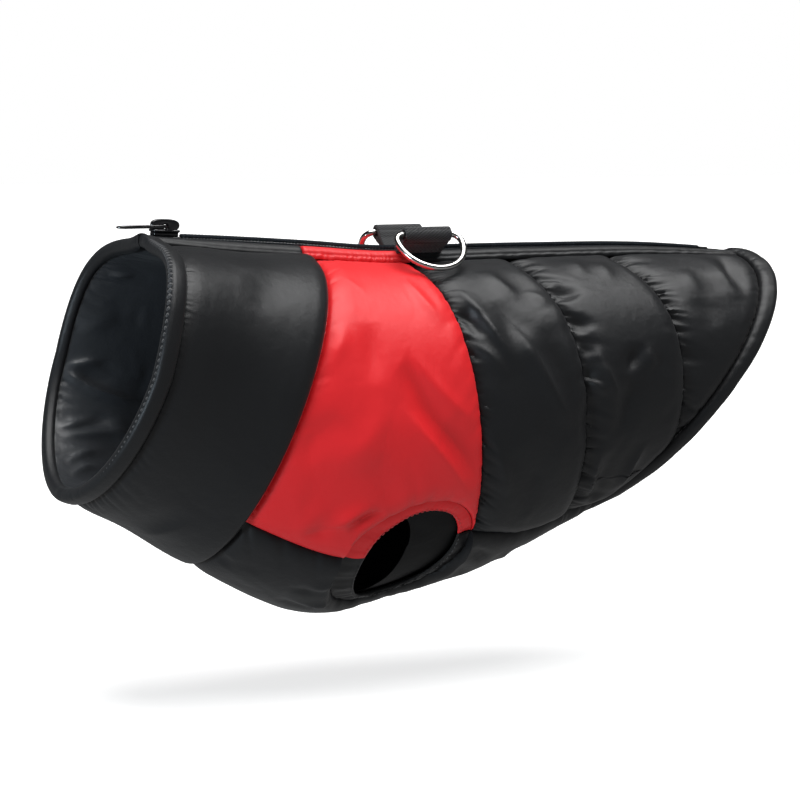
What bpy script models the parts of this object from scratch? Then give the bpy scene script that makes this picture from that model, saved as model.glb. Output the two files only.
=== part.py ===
"""Dog winter coat: a padded vest with a stand collar, red yokes, a back zip and two leash rings.

It keeps the hollow form it has when worn. The nose end points along -X, +Z is up, and +Y is the
dog's right. The origin is where the wearer's back carries the coat: 3 mm below the inside of the
zip tape, under the leash rings.
"""

import math

import bmesh
import bpy
import numpy as np

MM = 0.001

# Sections of the coat's outside from the neck to the tail, in millimetres. Each is an oval in a
# leaning plane: its top lies on the zip line and its low point on the belly line. half_width is at
# the widest, side_back moves the flanks towards the tail, egg widens the upper half, shoulder lifts
# its upper corners, and ridge is how far the cloth falls away on both sides of the zip.
RING_COLUMNS = (
    "top_x", "top_z", "low_x", "low_z", "half_width", "side_back", "egg", "shoulder", "ridge",
)
RINGS = {
    "neck_edge": (-143.0, 16.5, -186.5, -109.5, 73.0, 3.0, 0.08, 10.0, 3.0),
    "collar_mid": (-101.0, 14.1, -157.0, -122.8, 69.0, 2.0, 0.04, 2.8, 7.4),
    "collar_edge": (-57.5, 11.0, -120.5, -145.0, 69.0, 0.0, 0.04, 0.0, 8.0),
    "chest": (-30.0, 8.5, -60.0, -173.5, 72.5, 0.0, 0.06, 0.0, 7.6),
    "yoke_seam": (-5.0, 7.5, 13.0, -163.0, 71.0, 1.5, 0.06, 0.0, 7.4),
    "waist": (66.0, 7.4, 44.0, -153.0, 69.0, 4.0, 0.06, 0.0, 6.2),
    "loin": (131.0, 6.3, 68.0, -142.0, 64.0, 8.0, 0.06, 0.0, 4.6),
    "hem": (197.5, 1.2, 88.0, -132.5, 57.5, 15.8, 0.04, 0.0, 0.6),
}
TABLE = np.array(list(RINGS.values()))
# A section's station is the mean of its two x values: the distance along the coat, in millimetres.
STATIONS = (TABLE[:, 0] + TABLE[:, 2]) / 2
SLOPES = np.gradient(TABLE, STATIONS, axis=0)
STATION = dict(zip(RINGS, STATIONS))
NECK, YOKE, HEM = STATION["neck_edge"], STATION["yoke_seam"], STATION["hem"]
RIDGE_FOOT = 11.0  # from the zip to where most of the ridge's fall is done

# Thicknesses, as depths below the sections above, in millimetres.
LINING_DEPTH = 6.5  # the plain inside of every wall
SEAM_DEPTH = 4.2  # where the outer cloth is sewn down
SEAM_GAP = 0.3
STATION_GAP = 0.25  # half a seam gap, as a step in station
HALF_GIRTH_GAP = 0.2 / 70.0  # half a seam gap, as a step in angle

# Widths, in millimetres.
NECK_BAND_WIDTH = 8.5
HEM_BINDING_WIDTH = 11.5
ZIP_TAPE_EDGE = 10.6
ZIP_COIL_EDGE = 2.5
WELT_INNER, WELT_OUTER = 5.2, 11.6
PANEL_TOP = 12.1
BINDING_END = 0.5
LIP_OVERHANG = 4.6  # how far the collar's padded rear edge lies over the yokes and the chest
COLLAR = STATION["collar_edge"] - LIP_OVERHANG  # the station of the seam under that edge
LIP_REST = 6.0  # what it lies on stays flat as far as this

# The leg hole lies on the side seam, from this station back to the yoke's rear seam. It reaches up
# into the yoke and further down into the under panel, and the cuff narrows it all round.
LEG_FRONT, LEG_REAR = -49.5, YOKE - STATION_GAP
LEG_ANGLE, LEG_UP, LEG_DOWN = 131.0, 19.5, 37.0
CUFF_WIDTH_STATION, CUFF_WIDTH_UP, CUFF_WIDTH_DOWN = 10.0, 4.3, 3.6

# The seam between the flank panels and the under panel: station against degrees from the zip.
SIDE_SEAM_STATION = (COLLAR, LEG_FRONT, YOKE, 16.0, 37.0, 57.0, HEM)
SIDE_SEAM_ANGLE = (134.0, LEG_ANGLE, LEG_ANGLE, 134.0, 139.5, 142.5, 147.0)

# Quilting lines across the flank. Each starts at the zip at that x, in millimetres, bows towards the
# tail over the first of its drop, and then leans by so much for each millimetre further down.
QUILT_COLUMNS = ("at_zip", "bow", "lean")
QUILT_LINES = ((49.0, 12.0, 0.069), (107.0, 21.0, -0.03))
QUILT_BOW_DROP = 25.0
SHORTEST_CHANNEL = 6.0  # where a quilting line has already run into the hem binding

# How far from each kind of seam the padding takes to swell to its full thickness, in millimetres.
YOKE_RUNS = {"lip": 18.0, "rear": 20.0, "zip": 8.0, "low": 14.0}
FLANK_RUNS = {"quilting": 20.0, "hem": 14.0, "zip": 8.0, "low": 12.0}
UNDER_RUNS = {"lip": 16.0, "hem": 12.0, "side": 11.0}

# The largest folds: start and end as (angle, station), then half width and depth in millimetres.
# A positive depth is a trough and a negative one a ridge.
FOLD_COLUMNS = ("a0", "t0", "a1", "t1", "half_width", "depth")
FOLDS = {
    "shoulder_ridge": (36.0, 8.0, 73.0, 24.0, 5.0, -1.2),
    "shoulder_trough": (44.0, 14.0, 84.0, 36.0, 5.0, 1.3),
    "rib_ridge": (52.0, 21.0, 93.0, 52.0, 5.0, -1.3),
    "flank_trough": (68.0, 80.0, 122.0, 104.0, 6.0, 1.6),
    "loin_trough": (40.0, 96.0, 70.0, 90.0, 7.0, 1.3),
    "rump_trough": (16.0, 128.0, 44.0, 126.0, 6.0, 1.2),
    "yoke_pull": (60.0, -30.0, 112.0, -6.0, 7.0, 1.3),
    "cuff_pull": (104.0, -60.0, 121.0, -38.0, 5.0, 1.4),
}

# Where the panels' grid lines lie, as shares of the way across, closer together beside the seams.
FLANK_SHARES = np.array((0, 0.035, 0.10, 0.19, 0.28, 0.37, 0.46, 0.55, 0.64, 0.73, 0.82, 0.90, 0.965, 1))
UNDER_SHARES = np.array((-1, -0.9, -0.66, -0.33, 0, 0.33, 0.66, 0.9, 1))
CHANNEL_SHARES = np.array((0, 0.1, 0.27, 0.5, 0.73, 0.9, 1))
YOKE_ROWS, LEG_ROWS = 5, 8

# The zip slider stands on the tape at the neck, and the coil starts behind it. Its own frame has
# its origin at its base, under the middle of its bail.
SLIDER_X, SLIDER_BASE_Z = -130.5, 12.75
SLIDER_PITCH = math.atan2(2.5, 42.0)  # the slope of the zip line at the neck
SLIDER_LENGTH, SLIDER_WIDTH, SLIDER_HEIGHT = 15.5, 8.8, 4.6
SLIDER_WAIST = (5.5, 2.2)
ZIP_START_X = SLIDER_X + SLIDER_LENGTH / 2 + 0.6
ZIP_END_X = 168.0
BAIL_HALF_LENGTH, BAIL_RISE, BAIL_RADIUS, BAIL_SINK = 4.8, 2.75, 1.0, 1.2
PIN_HEIGHT = SLIDER_HEIGHT + 1.3
PULL_LENGTH, PULL_WIDTH, PULL_THICKNESS = 25.0, 6.6, 1.5
PULL_WINDOW_START, PULL_WINDOW_END, PULL_WINDOW_WIDTH = 1.0, 8.0, 3.2
PULL_EYE = 0.9

# The leash rings and the webbing loops that hold them, left and right of the zip.
RING_X = 1.0
RING_BAR_Y, RING_BAR_Z = 16.5, 13.0
RING_WIDTH, RING_REACH, RING_WIRE = 35.0, 23.0, 1.6
RING_CORNER = 2.2
RING_HANG = math.radians(43.0)
LOOP_WIDTH = 25.0
WEBBING_THICKNESS = 1.7
LOOP_SLACK = 0.5
LOOP_DROP = 12.45  # from the ring's bar to the foot, where the plies are sewn down on the welt
LOOP_LEAN = math.radians(50.0)  # the strap leans out from its foot to the bar

COLOURS = {
    "black_shell": (0.016, 0.017, 0.019, 1.0),
    "red_shell": (0.62, 0.028, 0.030, 1.0),
    "black_lining": (0.012, 0.013, 0.015, 1.0),
    "webbing": (0.010, 0.010, 0.011, 1.0),
    "zip": (0.008, 0.008, 0.009, 1.0),
    "ring_metal": (0.78, 0.77, 0.75, 1.0),
}
ROUGHNESS = {
    "black_shell": 0.5,
    "red_shell": 0.48,
    "black_lining": 0.4,
    "webbing": 0.75,
    "zip": 0.3,
    "ring_metal": 0.18,
}

COAT = "dog_winter_coat"


def section(station):
    """The table's columns at a station, by cubic Hermite curves through its rows."""
    station = np.asarray(station, float)
    i = np.clip(np.searchsorted(STATIONS, station, side="right") - 1, 0, len(STATIONS) - 2)
    span = (STATIONS[i + 1] - STATIONS[i])[..., None]
    s = (station - STATIONS[i])[..., None] / span
    near = (2 * s**3 - 3 * s**2 + 1) * TABLE[i] + (s**3 - 2 * s**2 + s) * span * SLOPES[i]
    far = (3 * s**2 - 2 * s**3) * TABLE[i + 1] + (s**3 - s**2) * span * SLOPES[i + 1]
    row = near + far
    return {name: row[..., k] for k, name in enumerate(RING_COLUMNS)}


def outside(angle, station):
    """Points of the coat's outside. angle runs from 0 at the zip, down the left side to pi."""
    angle, station = np.broadcast_arrays(np.asarray(angle, float), np.asarray(station, float))
    row = section(station)
    down, side = np.cos(angle), np.sin(angle)
    x = (row["top_x"] + row["low_x"]) / 2 + (row["top_x"] - row["low_x"]) / 2 * down
    z = (row["top_z"] + row["low_z"]) / 2 + (row["top_z"] - row["low_z"]) / 2 * down
    z = z + row["shoulder"] * side**2 * (down + np.abs(down))
    y = -row["half_width"] * side * (1 + row["egg"] * down)
    upper = np.maximum(down, 0) ** 3
    z = z - row["ridge"] * upper * (1 - np.exp(-((y / RIDGE_FOOT) ** 2)))
    return np.stack([x + row["side_back"] * np.abs(side), y, z], axis=-1)


def slopes(angle, station, step=0.5):
    """The surface's two tangents, per radian and per millimetre of station."""
    turn = step / 70.0
    across = (outside(angle + turn, station) - outside(angle - turn, station)) / (2 * turn)
    along = (outside(angle, station + step) - outside(angle, station - step)) / (2 * step)
    return across, along


def at_depth(angle, station, depth):
    """Points that far inside the outside surface, along its normal."""
    across, along = slopes(np.asarray(angle, float), np.asarray(station, float))
    normal = np.cross(across, along)
    normal /= np.linalg.norm(normal, axis=-1, keepdims=True)
    return outside(angle, station) - normal * np.asarray(depth, float)[..., None]


def angle_of(offset, station):
    """The angle at which the surface is offset millimetres to the left of the zip."""
    row = section(station)
    return offset / (row["half_width"] * (1 + row["egg"]))


def station_pace(angle, station):
    """Millimetres along the surface for each millimetre of station."""
    return np.linalg.norm(slopes(angle, station)[1], axis=-1)


def band_edge(angle):
    """The station where the neck band meets the collar, at that angle."""
    return NECK + NECK_BAND_WIDTH / station_pace(angle, NECK + 1.0)


def binding_edge(angle):
    """The station where the hem binding meets the panels, at that angle."""
    return HEM - HEM_BINDING_WIDTH / station_pace(angle, HEM - 1.0)


def side_seam(station):
    """The angle of the seam between flank and under panel, past the leg hole as if uncut."""
    return np.radians(np.interp(station, SIDE_SEAM_STATION, SIDE_SEAM_ANGLE))


def leg_curve(turn, inset=0.0):
    """(angle, station) round the leg hole. turn is 0 at its front, pi/2 at its top. inset 0 is the
    hole in the panels, and 1 is the cuff's free edge."""
    middle, half = (LEG_FRONT + LEG_REAR) / 2, (LEG_REAR - LEG_FRONT) / 2
    reach = np.where(
        np.sin(turn) >= 0,
        LEG_UP - CUFF_WIDTH_UP * inset,
        LEG_DOWN - CUFF_WIDTH_DOWN * inset,
    )
    angle = np.radians(LEG_ANGLE - reach * np.sin(turn))
    return angle, middle - (half - CUFF_WIDTH_STATION * inset) * np.cos(turn)


def rise(distance, run):
    """A quarter-round rise from 0 to 1 over that run, as padding swells away from a seam."""
    short = 1 - np.clip(distance / run, 0, 1)
    return np.sqrt(np.clip(1 - short**2, 0, 1))


def fold_relief(angle, station):
    """Added depth from the table of folds: each is a soft trough that fades out at both ends."""
    girth = 75.0
    here = np.stack([np.abs(angle) * girth, station], axis=-1)
    total = np.zeros(here.shape[:-1])
    for row in FOLDS.values():
        fold = dict(zip(FOLD_COLUMNS, row))
        start = np.array([math.radians(fold["a0"]) * girth, fold["t0"]])
        along = np.array([math.radians(fold["a1"]) * girth, fold["t1"]]) - start
        share = ((here - start) @ along) / (along @ along)
        off = np.linalg.norm(here - start - np.clip(share, 0, 1)[..., None] * along, axis=-1)
        fade = np.sin(np.pi * np.clip(share, 0, 1)) ** 0.7
        total += fold["depth"] * np.exp(-((off / fold["half_width"]) ** 2)) * fade
    return total


def quilt_offset(line, point):
    """Millimetres that points lie behind a quilting line, measured along X."""
    line = dict(zip(QUILT_COLUMNS, line))
    drop = np.maximum(-point[..., 2], 0)
    bow = line["bow"] * (1 - np.exp(-drop / QUILT_BOW_DROP))
    return point[..., 0] - (line["at_zip"] + bow + line["lean"] * drop)


def quilt_distance(point):
    """Millimetres from the nearest quilting line across the flank."""
    return np.min([np.abs(quilt_offset(line, point)) for line in QUILT_LINES], axis=0)


def padded_depth(angle, station, distances):
    """The outer cloth's depth: sewn down at the seams, swollen between them, with its folds."""
    swell = np.ones(np.shape(angle))
    for distance, run in distances:
        swell = swell * rise(distance, run)
    return SEAM_DEPTH * (1 - swell) + fold_relief(angle, station) * swell


def make_object(name, material, collection, points, faces):
    """A named mesh object from points in millimetres."""
    mesh = bpy.data.meshes.new(name)
    mesh.from_pydata([tuple(p) for p in np.asarray(points) * MM], [], faces)
    mesh.materials.append(material)
    mesh.shade_smooth()
    mesh.set_sharp_from_angle(angle=math.radians(40))
    obj = bpy.data.objects.new(name, mesh)
    collection.objects.link(obj)
    return obj


def loft(name, material, collection, loops, mirrored=False, strip_caps=False):
    """A closed solid through a row of closed loops, each a list of points, with both ends capped.
    strip_caps closes a thin loop by quads from its outgoing half to its returning half."""
    loops = np.asarray(loops, float)
    rows, count = loops.shape[:2]
    faces = []
    for r in range(rows - 1):
        for c in range(count):
            d = (c + 1) % count
            faces.append((r * count + c, r * count + d, (r + 1) * count + d, (r + 1) * count + c))
    cap = [tuple(range(count))]
    if strip_caps:
        cap = [(c, c + 1, count - 2 - c, count - 1 - c) for c in range(count // 2 - 1)]
    last = (rows - 1) * count
    faces += [face[::-1] for face in cap]
    faces += [tuple(last + c for c in face) for face in cap]
    points = loops.reshape(-1, 3)
    if mirrored:
        points = points * (1, -1, 1)
        faces = [face[::-1] for face in faces]
    return make_object(name, material, collection, points, faces)


def wall(name, material, collection, outer, inner, mirrored=False):
    """A closed wall between two grids of points: its loops run out along one and back along the other."""
    loops = np.concatenate([outer, inner[:, ::-1]], axis=1)
    return loft(name, material, collection, loops, mirrored, strip_caps=True)


def flank_angles(station, low):
    """Angles from the zip's welt down to the low edge, for a station and its low edge's angle."""
    top = angle_of(PANEL_TOP, station)
    return top + FLANK_SHARES * (low - top)


def rows_before_leg():
    """Stations from the collar seam, past the collar's lip, to just short of the leg hole."""
    past_lip = np.linspace(COLLAR + LIP_REST, LEG_FRONT, YOKE_ROWS)
    return np.concatenate([[COLLAR + STATION_GAP], past_lip[:-1]])


def yoke_rows():
    """(angle, station) grids of the yoke, whose low edge follows the seam and then the leg hole."""
    before = rows_before_leg()
    over_angle, over_station = leg_curve(np.linspace(0, math.pi, LEG_ROWS + 1))
    station = np.concatenate([before, over_station])
    low = np.concatenate([side_seam(before) - HALF_GIRTH_GAP, over_angle])
    low[[YOKE_ROWS, -1]] -= HALF_GIRTH_GAP
    angle = flank_angles(station[:, None], low[:, None])
    return angle, np.broadcast_to(station[:, None], angle.shape)


def quilt_station(line, angle):
    """The station at which the surface crosses a quilting line, for each of a row of angles."""
    tries = np.linspace(YOKE, HEM, 240)
    offset = quilt_offset(line, outside(angle, tries[:, None]))
    after = np.maximum(np.argmax(offset > 0, axis=0), 1)[None]
    short, past = (np.take_along_axis(offset, i, 0)[0] for i in (after - 1, after))
    return tries[after[0]] - (tries[1] - tries[0]) * past / (past - short)


def rear_grid(first, edge_angle, lines=()):
    """(angle, station) grids back to the hem binding, in channels parted by the quilting lines.
    edge_angle gives each column's angle at a row of stations."""
    channels = len(lines) + 1
    share = np.concatenate([c + CHANNEL_SHARES[:-1] for c in range(channels)] + [[channels]])[:, None]
    station = np.broadcast_to(first + (HEM - first) * share / channels, (len(share), 1))
    angle = edge_angle(station)
    for _ in range(6):
        last = binding_edge(angle[-1]) - STATION_GAP
        stops = [np.full(last.shape, first)]
        for c, line in enumerate(lines, 1):
            seam = quilt_station(line, angle[c * (len(CHANNEL_SHARES) - 1)])
            stops.append(np.minimum(seam, last - (channels - c) * SHORTEST_CHANNEL))
        stops = np.stack(stops + [last])
        low = np.minimum(share.astype(int), channels - 1)
        station = np.take_along_axis(stops, np.broadcast_to(low, angle.shape), 0)
        after = np.take_along_axis(stops, np.broadcast_to(low + 1, angle.shape), 0)
        station = station + (share - low) * (after - station)
        angle = edge_angle(station)
    return angle, station


def flank_rows():
    """(angle, station) grids of the flank panel, from the yoke seam to the hem binding."""
    return rear_grid(
        YOKE + STATION_GAP,
        lambda station: flank_angles(station, side_seam(station) - HALF_GIRTH_GAP),
        QUILT_LINES,
    )


def under_rows():
    """(angle, station) grids of the under panel, from seam to seam across the belly."""
    before = rows_before_leg()
    turn = np.linspace(0, math.pi, LEG_ROWS + 1)
    edge = np.concatenate([side_seam(before) + HALF_GIRTH_GAP, leg_curve(-turn)[0]])
    edge[[YOKE_ROWS, -1]] += HALF_GIRTH_GAP
    front_angle = math.pi + UNDER_SHARES * (math.pi - edge)[:, None]
    front_station = np.concatenate([before, leg_curve(turn)[1]])[:, None]
    front_station = np.broadcast_to(front_station, front_angle.shape)
    rear_angle, rear_station = rear_grid(
        LEG_REAR,
        lambda station: math.pi + UNDER_SHARES * (math.pi - side_seam(station) - HALF_GIRTH_GAP),
        QUILT_LINES,
    )
    return (
        np.concatenate([front_angle, rear_angle[1:]]),
        np.concatenate([front_station, rear_station[1:]]),
    )


def arc_to(angle, edge, station):
    """Millimetres round the girth between two angles."""
    return np.abs(edge - angle) * section(station)["half_width"]


def to_binding(angle, station):
    """Millimetres along the surface from points to the hem binding."""
    return (binding_edge(angle) - station) * station_pace(angle, station)


def padded_wall(name, material, collection, angle, station, distances, mirrored=False):
    """A panel: padded outside, plain inside. distances are its (distance, run) pairs."""
    outer = at_depth(angle, station, padded_depth(angle, station, distances))
    inner = at_depth(angle, station, np.full(angle.shape, LINING_DEPTH))
    wall(name, material, collection, outer, inner, mirrored)


def build_yokes(collection, material):
    angle, station = yoke_rows()
    distances = (
        (station - COLLAR - LIP_REST, YOKE_RUNS["lip"]),
        (YOKE - station, YOKE_RUNS["rear"]),
        (arc_to(angle, angle[:, :1], station), YOKE_RUNS["zip"]),
        (arc_to(angle, angle[:, -1:], station), YOKE_RUNS["low"]),
    )
    padded_wall("yoke_left", material, collection, angle, station, distances)
    padded_wall("yoke_right", material, collection, angle, station, distances, mirrored=True)


def build_flanks(collection, material):
    angle, station = flank_rows()
    to_quilting = np.minimum(station - YOKE, quilt_distance(outside(angle, station)))
    distances = (
        (to_quilting, FLANK_RUNS["quilting"]),
        (to_binding(angle, station), FLANK_RUNS["hem"]),
        (arc_to(angle, angle[:, :1], station), FLANK_RUNS["zip"]),
        (arc_to(angle, angle[:, -1:], station), FLANK_RUNS["low"]),
    )
    padded_wall("flank_left", material, collection, angle, station, distances)
    padded_wall("flank_right", material, collection, angle, station, distances, mirrored=True)


def build_under_panel(collection, material):
    angle, station = under_rows()
    distances = (
        (station - COLLAR - LIP_REST, UNDER_RUNS["lip"]),
        (to_binding(angle, station), UNDER_RUNS["hem"]),
        (arc_to(angle, angle[:, :1], station), UNDER_RUNS["side"]),
        (arc_to(angle, angle[:, -1:], station), UNDER_RUNS["side"]),
    )
    padded_wall("under_panel", material, collection, angle, station, distances)


def collar_angles():
    """Angles round the collar from welt to welt, on the panels' own columns."""
    low = side_seam(COLLAR)
    left = flank_angles(COLLAR, low)
    under = math.pi + UNDER_SHARES * (math.pi - low)
    return np.concatenate([left, under[1:-1], 2 * math.pi - left[::-1]])


def rear_angles():
    """Angles round the hem binding, on the panels' own columns, with its ends at the zip."""
    left = flank_rows()[0][-1].copy()
    left[-1] += HALF_GIRTH_GAP
    left = np.concatenate([[float(angle_of(BINDING_END, HEM))], left])
    return np.concatenate([left, under_rows()[0][-1, 1:-1], 2 * math.pi - left[::-1]])


def ring_wall(name, material, collection, angles, stations, depths):
    """A band right round the coat. stations and depths give its cross-section at each angle."""
    angle = np.broadcast_to(angles[:, None], stations.shape)
    return loft(name, material, collection, at_depth(angle, stations, depths)[:, ::-1])


def build_collar(collection, material):
    """The stand collar. Its rear edge is a padded lip that lies over the yokes and the chest."""
    angles = collar_angles()
    front = (band_edge(angles) + STATION_GAP)[:, None]
    back = COLLAR - STATION_GAP
    # Share of the way from band to seam, millimetres past that, and depth.
    profile = np.array(
        (
            (0.00, 0.0, 3.4),
            (0.02, 0.0, 2.2),
            (0.07, 0.0, 0.9),
            (0.18, 0.0, 0.2),
            (0.36, 0.0, 0.0),
            (0.56, 0.0, -0.2),
            (0.76, 0.0, -0.9),
            (0.90, 0.0, -1.5),
            (1.00, 0.0, -1.4),
            (1.00, 3.0, -0.5),
            (1.00, LIP_OVERHANG, 1.1),
            (1.00, LIP_OVERHANG, 2.6),
            (1.00, 3.2, 3.7),
            (1.00, 0.0, 3.8),
            (1.00, 0.0, 5.0),
            (2 / 3, 0.0, 5.0),
            (1 / 3, 0.0, 5.0),
            (0.00, 0.0, 5.0),
        )
    )
    stations = front + profile[:, 0] * (back - front) + profile[:, 1]
    flatter = 1 - 0.8 * np.maximum(-np.cos(angles), 0)[:, None]  # the lip swells less on the chest
    depths = profile[:, 2] * np.where(profile[:, 2] < 0, flatter, 1)
    ring_wall("collar", material, collection, angles, stations, depths)


def build_collar_lining(collection, material):
    """The lining that shows inside the collar, a thin wall from the neck band to the collar seam."""
    angles = collar_angles()
    front = (band_edge(angles) + STATION_GAP)[:, None]
    back = COLLAR - STATION_GAP
    share = np.linspace(0, 1, 4)
    stations = front + np.concatenate([share, share[::-1]]) * (back - front)
    depths = np.broadcast_to(np.repeat((5.6, LINING_DEPTH), len(share)), stations.shape)
    ring_wall("collar_lining", material, collection, angles, stations, depths)


def build_neck_band(collection, material):
    """The folded band round the neck opening, with a rounded free edge."""
    angles = collar_angles()
    back = (band_edge(angles) - STATION_GAP)[:, None]
    # Share of the band's width from its free edge, then depth.
    profile = np.array(
        (
            (0.00, 3.8),
            (0.05, 2.4),
            (0.22, 1.2),
            (0.55, 0.8),
            (0.88, 1.6),
            (1.00, 3.2),
            (1.00, 6.5),
            (0.60, 6.6),
            (0.25, 6.2),
            (0.06, 5.2),
        )
    )
    stations = NECK + profile[:, 0] * (back - NECK)
    depths = np.broadcast_to(profile[:, 1], stations.shape)
    ring_wall("neck_band", material, collection, angles, stations, depths)


def build_hem_binding(collection, material):
    """The padded binding round the rear opening, from one side of the zip to the other."""
    angles = rear_angles()
    front = (binding_edge(angles) + STATION_GAP)[:, None]
    # Share of the binding's width from the panels, then depth.
    profile = np.array(
        (
            (0.00, 4.0),
            (0.08, 1.9),
            (0.30, 0.4),
            (0.60, 0.0),
            (0.86, 1.0),
            (1.00, 3.0),
            (0.98, 5.0),
            (0.80, 6.3),
            (0.40, 6.5),
            (0.00, 6.5),
        )
    )
    stations = front + profile[:, 0] * (HEM - front)
    depths = np.broadcast_to(profile[:, 1], stations.shape)
    ring_wall("hem_binding", material, collection, angles, stations, depths)


def build_leg_cuffs(collection, red, black):
    """The elastic facings round each leg hole, red above and black below."""
    # Share of the cuff's width from the panels inwards, then depth.
    profile = np.array(
        (
            (0.00, 4.6),
            (0.35, 4.1),
            (0.75, 4.3),
            (1.00, 5.2),
            (0.85, 6.6),
            (0.40, 6.7),
            (0.00, 6.5),
        )
    )
    clear = 1.3 * SEAM_GAP / CUFF_WIDTH_STATION
    inset = clear + profile[:, 0] * (1 - clear)
    end = 0.014  # half the seam gap between upper and lower facing, in radians
    for name, first, last, material in (
        ("cuff_upper", end, math.pi - end, red),
        ("cuff_lower", math.pi + end, 2 * math.pi - end, black),
    ):
        turn = np.linspace(first, last, LEG_ROWS + 1)[:, None] * np.ones(len(profile))
        angle, station = leg_curve(turn, inset)
        loops = at_depth(angle, station, np.broadcast_to(profile[:, 1], turn.shape))
        loft(name + "_left", material, collection, loops)
        loft(name + "_right", material, collection, loops, mirrored=True)


def strip(name, material, collection, stations, profile, mirrored=False):
    """A strip along the zip line. profile is its cross-section: millimetres off the zip, and depth."""
    profile = np.array(profile, float)
    station = np.broadcast_to(np.asarray(stations)[:, None], (len(stations), len(profile)))
    angle = angle_of(profile[:, 0], station)
    loops = at_depth(angle, station, np.broadcast_to(profile[:, 1], station.shape))
    return loft(name, material, collection, loops, mirrored)


def top_station(x):
    """The station whose section has its top at that x, in millimetres."""
    stations = np.linspace(NECK, HEM, 400)
    return float(np.interp(x, section(stations)["top_x"], stations))


def build_zip(collection, materials):
    """Two tapes, the closed coil between them and its stop, under a welt on each side."""
    black, red, plastic, tape = (materials[k] for k in ("black_shell", "red_shell", "zip", "webbing"))
    start, end = top_station(ZIP_START_X), top_station(ZIP_END_X)
    edge = float(np.min(binding_edge(angle_of(np.array((0.0, WELT_OUTER)), HEM)))) - STATION_GAP
    tape_profile = ((0.4, 3.6), (ZIP_TAPE_EDGE, 3.6), (ZIP_TAPE_EDGE, 4.5), (0.4, 4.5))
    neck = NECK + 1.0
    tape_stations = np.linspace(neck, edge, 18)
    # Each cross-section has millimetres off the zip line, then depth.
    coil = (
        (-ZIP_COIL_EDGE, 3.2),
        (-2.2, 1.3),
        (-1.0, 0.6),
        (1.0, 0.6),
        (2.2, 1.3),
        (ZIP_COIL_EDGE, 3.2),
    )
    welt = (
        (WELT_INNER, 3.2),
        (WELT_INNER + 0.1, 2.0),
        (WELT_INNER + 1.6, 1.0),
        (WELT_INNER + 4.2, 0.8),
        (WELT_OUTER - 1.0, 1.6),
        (WELT_OUTER, 3.2),
    )
    stretches = (
        ("welt_collar", neck, COLLAR - STATION_GAP, black, 6),
        ("welt_yoke", COLLAR + STATION_GAP, YOKE - STATION_GAP, red, 6),
        ("welt_body", YOKE + STATION_GAP, edge, black, 12),
    )
    for side, mirrored in (("_left", False), ("_right", True)):
        strip("zip_tape" + side, tape, collection, tape_stations, tape_profile, mirrored)
        for name, first, last, material, rows in stretches:
            strip(name + side, material, collection, np.linspace(first, last, rows + 1), welt, mirrored)
    strip("zip_coil", plastic, collection, np.linspace(start, end, 24), coil)
    stop = ((-3.0, 3.2), (-2.6, 0.6), (2.6, 0.6), (3.0, 3.2))
    strip("zip_stop", plastic, collection, np.linspace(end + 0.4, end + 3.4, 3), stop)


def link_mesh(name, material, collection, bm):
    """A named object from a bmesh in millimetres."""
    bmesh.ops.scale(bm, vec=(MM, MM, MM), verts=bm.verts)
    bmesh.ops.recalc_face_normals(bm, faces=bm.faces)
    mesh = bpy.data.meshes.new(name)
    bm.to_mesh(mesh)
    bm.free()
    mesh.materials.append(material)
    mesh.shade_smooth()
    mesh.set_sharp_from_angle(angle=math.radians(35))
    obj = bpy.data.objects.new(name, mesh)
    collection.objects.link(obj)
    return obj


def block(size, centre):
    """A bmesh box of that size, in millimetres."""
    bm = bmesh.new()
    bmesh.ops.create_cube(bm, size=1.0)
    bmesh.ops.scale(bm, vec=size, verts=bm.verts)
    bmesh.ops.translate(bm, vec=centre, verts=bm.verts)
    return bm


def join_with(obj, other):
    """Unites another solid into an object, and keeps the other as a hidden guide."""
    modifier = obj.modifiers.new("join", "BOOLEAN")
    modifier.operation = "UNION"
    modifier.solver = "EXACT"
    modifier.object = other


def cut_with(obj, other):
    """Cuts another solid out of an object."""
    modifier = obj.modifiers.new("cut", "BOOLEAN")
    modifier.operation = "DIFFERENCE"
    modifier.solver = "EXACT"
    modifier.object = other


def guide(obj):
    """Hides a cutter or a joined piece from the finished part."""
    obj.hide_render = True
    obj.display_type = "WIRE"
    return obj


def as_mesh(curve_obj, name, collection):
    """A curve object turned into a mesh object with closed ends, in the curve's own place."""
    bpy.context.view_layer.update()
    evaluated = curve_obj.evaluated_get(bpy.context.evaluated_depsgraph_get())
    mesh = bpy.data.meshes.new_from_object(evaluated)
    bm = bmesh.new()
    bm.from_mesh(mesh)
    bmesh.ops.remove_doubles(bm, verts=bm.verts, dist=0.01 * MM)
    bm.to_mesh(mesh)
    bm.free()
    obj = bpy.data.objects.new(name, mesh)
    obj.matrix_world = curve_obj.matrix_world
    bpy.data.objects.remove(curve_obj)
    collection.objects.link(obj)
    return obj


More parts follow.
